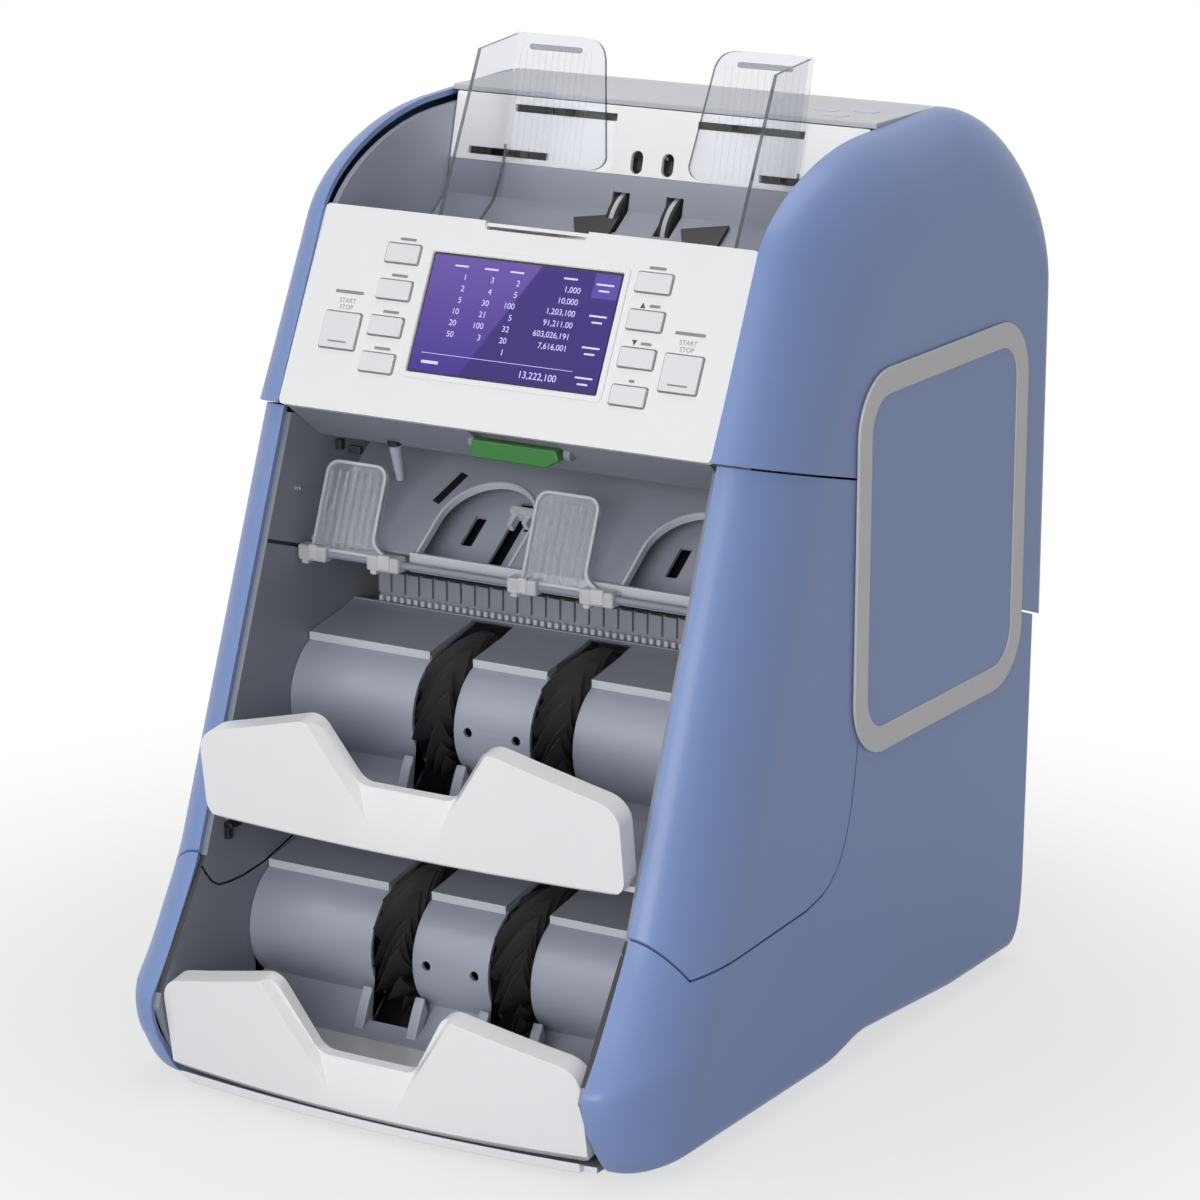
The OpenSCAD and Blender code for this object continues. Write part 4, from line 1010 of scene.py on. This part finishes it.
def hopper():
    dress("hopper_wall", HOPPER_WHITE, 0.5)
    dress("hopper_chute", CHUTE_GRAY)
    dress("top_cover", COVER_GRAY, 0.5)
    dress("head_rear_cover", COVER_GRAY, 0.4, 2, 25)
    dress("head_frame", DRUM_GRAY, 0.3)
    # Black sheet behind the hopper wall, seen through its slots: painted shade.
    slot_shade = prism("hopper_slot_shade", rounded_box(-112, 112, 1.5, 33, 1, 2), 3.1, 3.5, on_hopper, BLACK)
    cut(slot_shade, prism("rack_room", rounded_box(-100, 100, 2, 33, 1, 2), 2, 5, on_hopper))
    settle(slot_shade, "head", "black_plastic")

    def on_cover(x, y, height):
        return (x, y, COVER_Z + height - 0.1)

    for i, (x, y) in enumerate(((84, 92), (96, 80), (104, 98))):
        button = prism(f"cover_oval_{i}", centred_box(x, y, 14, 8, 3.9), 0, 0.5, on_cover, PALE_GRAY_AND_PAINTED_LIGHT)
        settle(soften(button, 0.2), "head", "cover_gray")


def feed():
    """Pickup rollers on their shaft, and the black pads on the chute."""
    low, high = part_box("pickup_rollers")
    axis = ((low[1] + high[1]) / 2 / MM, (low[2] + high[2]) / 2 / MM)
    parts = [turned("feed_shaft", axis, ((-125.6, 4.0), (125.6, 4.0)), STEEL, 24)]
    for x in (-16, 16):
        wheel = [(x + dx, r) for dx, r in ((-4, 22), (-3.2, 23.9), (-1.6, 23.9), (-1.4, 23.2), (1.4, 23.2),
                                           (1.6, 23.9), (3.2, 23.9), (4, 22))]
        belt = [(x + dx, r) for dx, r in ((-1.3, 23.0), (-1.3, 23.9), (1.3, 23.9), (1.3, 23.0))]
        parts += [turned("feed_wheel", axis, wheel, RUBBER, 64), turned("feed_belt", axis, belt, LIGHT_GRAY, 64)]
    settle(merge("feed_wheels", parts), "feed_rollers", SLOT_OF["pickup_rollers"], ("pickup_rollers",))
    chute_foot = Vector((HOPPER_FOOT[0] - 4.5, HOPPER_FOOT[1] - 18))
    chute_end = Vector((HOPPER_FOOT[0] - 88, HOPPER_FOOT[1] - 76))
    slope = (chute_end - chute_foot).normalized()
    normal = Vector((slope.y, -slope.x))

    def on_chute(x, along, height):
        p = chute_foot + slope * along + normal * height
        return (x, p.x, p.y)

    for i, (x0, x1) in enumerate(((-38, -12), (26, 52))):
        outline = [(x0, 10), (x1, 4), (x1, 20), (x0 + 7, 22)]
        pad = prism(f"feed_pad_{i}", outline, 0.1, 2.6, on_chute, BLACK)
        settle(soften(pad, 0.8), "head", "black_plastic")
    # Black strip across the chute, just behind the panel's top edge.
    strip = prism("chute_dark_strip", rounded_box(-60, 112, 24, 40, 2, 3), 0.1, 2.5, on_chute, BLACK)
    settle(soften(strip, 0.5), "head", "black_plastic")


def guides():
    """Clear guides of the hopper, with their corners cut to shape, edges painted darker as painted shade, and a
    dash.
    """
    facing = Vector((0, math.cos(HOPPER_LEAN), -math.sin(HOPPER_LEAN)))
    foot = Vector((0, *HOPPER_FOOT))

    def is_edge(centre, normal):
        if abs(centre.x) > 85.9:
            return abs(normal.x) < 0.9
        return abs(normal.dot(facing)) < 0.9 and -6.05 < (centre - foot).dot(facing) < 0

    top_corner = bezier((-50, 68), (-38, 68.2), (-33.5, 66), (-31.6, 55), 8) + [(-15, 55), (-15, 76), (-50, 76)]
    low_corner = bezier((-24.4, 14), (-23.6, 4), (-26, 0), (-38, 0), 8) + [(-38, -6), (-15, -6), (-15, 14)]
    for side, name in ((-1, "guide_left"), (1, "guide_right")):
        guide = copy_of(name, CLEAR)
        for corner in (top_corner, low_corner):
            outline = [(-side * x, row) for x, row in corner]
            cut(guide, prism("corner", outline, -9, -3.9, on_hopper))
        fix_normals(guide)
        # The guides' edge faces take the darker material: painted shade.
        recolour(guide, CLEAR_EDGE_SHADE, is_edge)
        settle(soften(guide, 0.25), name, SLOT_OF[name], (name,))
        dash = centred_box(side * 62, 61, 32, 3, 1.4, 3)
        dash = prism(name.replace("guide", "guide_dash"), dash, -6.9, -6.0, on_hopper, CLEAR_DASH)
        settle(soften(dash, 0.3), name, "clear_plastic")


def underside():
    """Head's underside with its small marks, the release lever, a stop post and latch bits."""
    dress("head_underside", WALL_GRAY)
    outline = [(-14, 317.6), (29, 317.2), (36.8, 321.5), (35, 326.6), (-14, 326.8)]
    lever = prism("lever_grip", outline, -91.3, -84, lambda x, z, y: (x, y, z), GREEN)
    bar = turned("lever_bar", (-83.5, 324), ((-18, 1.5), (40, 1.5)), GREEN, 24)
    moulding = merge("lever_moulding", [soften(lever, 0.9, 3), bar])
    settle(moulding, "release_lever", "lever_green", ("release_lever",))
    for i, (x, y) in enumerate(((-70, -82), (-36, -76), (62, -80), (100, -74))):
        z = 333 - 20 * (y + 93.5) / 28
        low, high = (x - 2.5, y - 0.8, z - 0.9), (x + 2.5, y + 0.8, z + 0.2)
        settle(block(f"underside_mark_{i}", low, high, WALL_GRAY, 0.2), "head", "inner_gray")
    # The black collar at the post's foot is painted shade in the hole the post stands in.
    post = merge("stop_post", [
        turned("post_tube", (0, 0), ((0, 3.4), (22, 2.2)), DRUM_GRAY, 20),
        turned("post_hole_shade", (0, 0), ((0, 3.6), (2.4, 3.6)), BLACK, 20)])
    lean = Matrix.Rotation(math.radians(14), 4, "X") @ Matrix.Rotation(math.radians(90), 4, "Y")
    post.data.transform(Matrix.Translation(Vector((-75, -68, 314)) * MM) @ lean)
    settle(post, "head", "inner_gray")
    bits = [block("bit_a", (-113, -66, 304), (-109, -62, 309.5), BLACK, 0.6),
            block("bit_b", (-106, -65, 303), (-98, -62, 307), BLACK, 0.6)]
    settle(merge("latch_bits", bits), "head", "black_plastic")


frames()
drums_and_decks()
trays()
stacker_wheels("upper", UPPER_AXIS, 3)
stacker_wheels("lower", LOWER_AXIS, 5)
inside_and_rear()
reject_pocket()
comb()
flap("flap_left", -115.5)
flap("flap_right", 10.5)
control_panel()
screen_picture()
hopper()
feed()
guides()
underside()
side_covers()


# ---- Camera, light and floor ----

def camera():
    """Camera fitted to the photograph."""
    azimuth, elevation, roll = math.radians(31.07), math.radians(15.19), math.radians(0.154)
    data = bpy.data.cameras.new("camera")
    data.sensor_width = 36.0
    data.lens = 133.1
    data.clip_end = 20.0
    obj = place_new("camera", data)
    obj.location = (1.14298, -1.88747, 0.82426)
    turn = Matrix.Rotation(azimuth, 4, "Z") @ Matrix.Rotation(math.pi / 2 - elevation, 4, "X")
    obj.rotation_euler = (turn @ Matrix.Rotation(roll, 4, "Z")).to_euler()
    bpy.context.scene.camera = obj


def lamp(name, place, target, size, power):
    data = bpy.data.lights.new(name, "AREA")
    data.shape = "RECTANGLE"
    data.size, data.size_y = size
    data.energy = power
    obj = place_new(name, data)
    obj.location = place
    obj.rotation_euler = (Vector(target) - Vector(place)).to_track_quat("-Z", "Y").to_euler()


def seen_directly(tree):
    """1 for camera, glossy and transmission rays, else 0."""
    ray = add(tree, "LightPath")
    total = ray.outputs["Is Camera Ray"]
    for name in ("Is Glossy Ray", "Is Transmission Ray"):
        larger = add(tree, "Math", (0, total), (1, ray.outputs[name]))
        larger.operation = "MAXIMUM"
        total = larger.outputs["Value"]
    return total


def floor_material():
    """Pale floor that keeps the shadow near the machine and turns to white further away."""
    material, tree, shader = base_material("floor_white")
    fill(shader, ("Base Color", (0.62, 0.62, 0.63, 1.0)), ("Roughness", 0.9), ("Specular IOR Level", 0.0))
    reach = add(tree, "VectorMath", (0, add(tree, "NewGeometry").outputs["Position"]))
    reach.operation = "LENGTH"
    fade = add(tree, "MapRange", ("Value", reach.outputs["Value"]))
    fade.interpolation_type = "SMOOTHSTEP"
    fill(fade, ("From Min", 0.22), ("From Max", 0.62), ("To Min", 0.66))
    share = add(tree, "Math", (0, fade.outputs["Result"]), (1, seen_directly(tree)))
    share.operation = "MULTIPLY"
    white = add(tree, "Emission")
    fill(white, ("Strength", 1.0))
    both = add(tree, "MixShader", ("Fac", share.outputs["Value"]), (1, shader.outputs["BSDF"]),
               (2, white.outputs["Emission"]))
    tree.links.new(both.outputs["Shader"], tree.nodes["Material Output"].inputs["Surface"])
    return material


def studio():
    world = bpy.data.worlds.new("studio")
    bpy.context.scene.world = world
    world.use_nodes = True
    tree = world.node_tree
    background = tree.nodes["Background"]
    fill(background, ("Color", (1.0, 1.0, 1.0, 1.0)))
    level = ranged(tree, seen_directly(tree), ("To Min", 0.26), ("To Max", 1.0))
    tree.links.new(level, background.inputs["Strength"])
    lamp("key_light", (-1.2, -2.1, 1.5), (0, 0, 0.25), (1.4, 1.4), 11)
    lamp("front_light", (0.55, -2.4, 0.75), (0, 0, 0.22), (1.3, 1.0), 29)
    lamp("top_light", (0.0, 0.3, 2.4), (0, 0, 0.3), (1.8, 1.8), 22)
    reach = 4000
    corners = [(-reach, -reach, 0), (reach, -reach, 0), (reach, reach, 0), (-reach, reach, 0)]
    floor = make_object("floor", corners, [(0, 1, 2, 3)], floor_material())
    floor.location.z = -0.0002
    bpy.context.scene.view_settings.view_transform = "Standard"


camera()
studio()
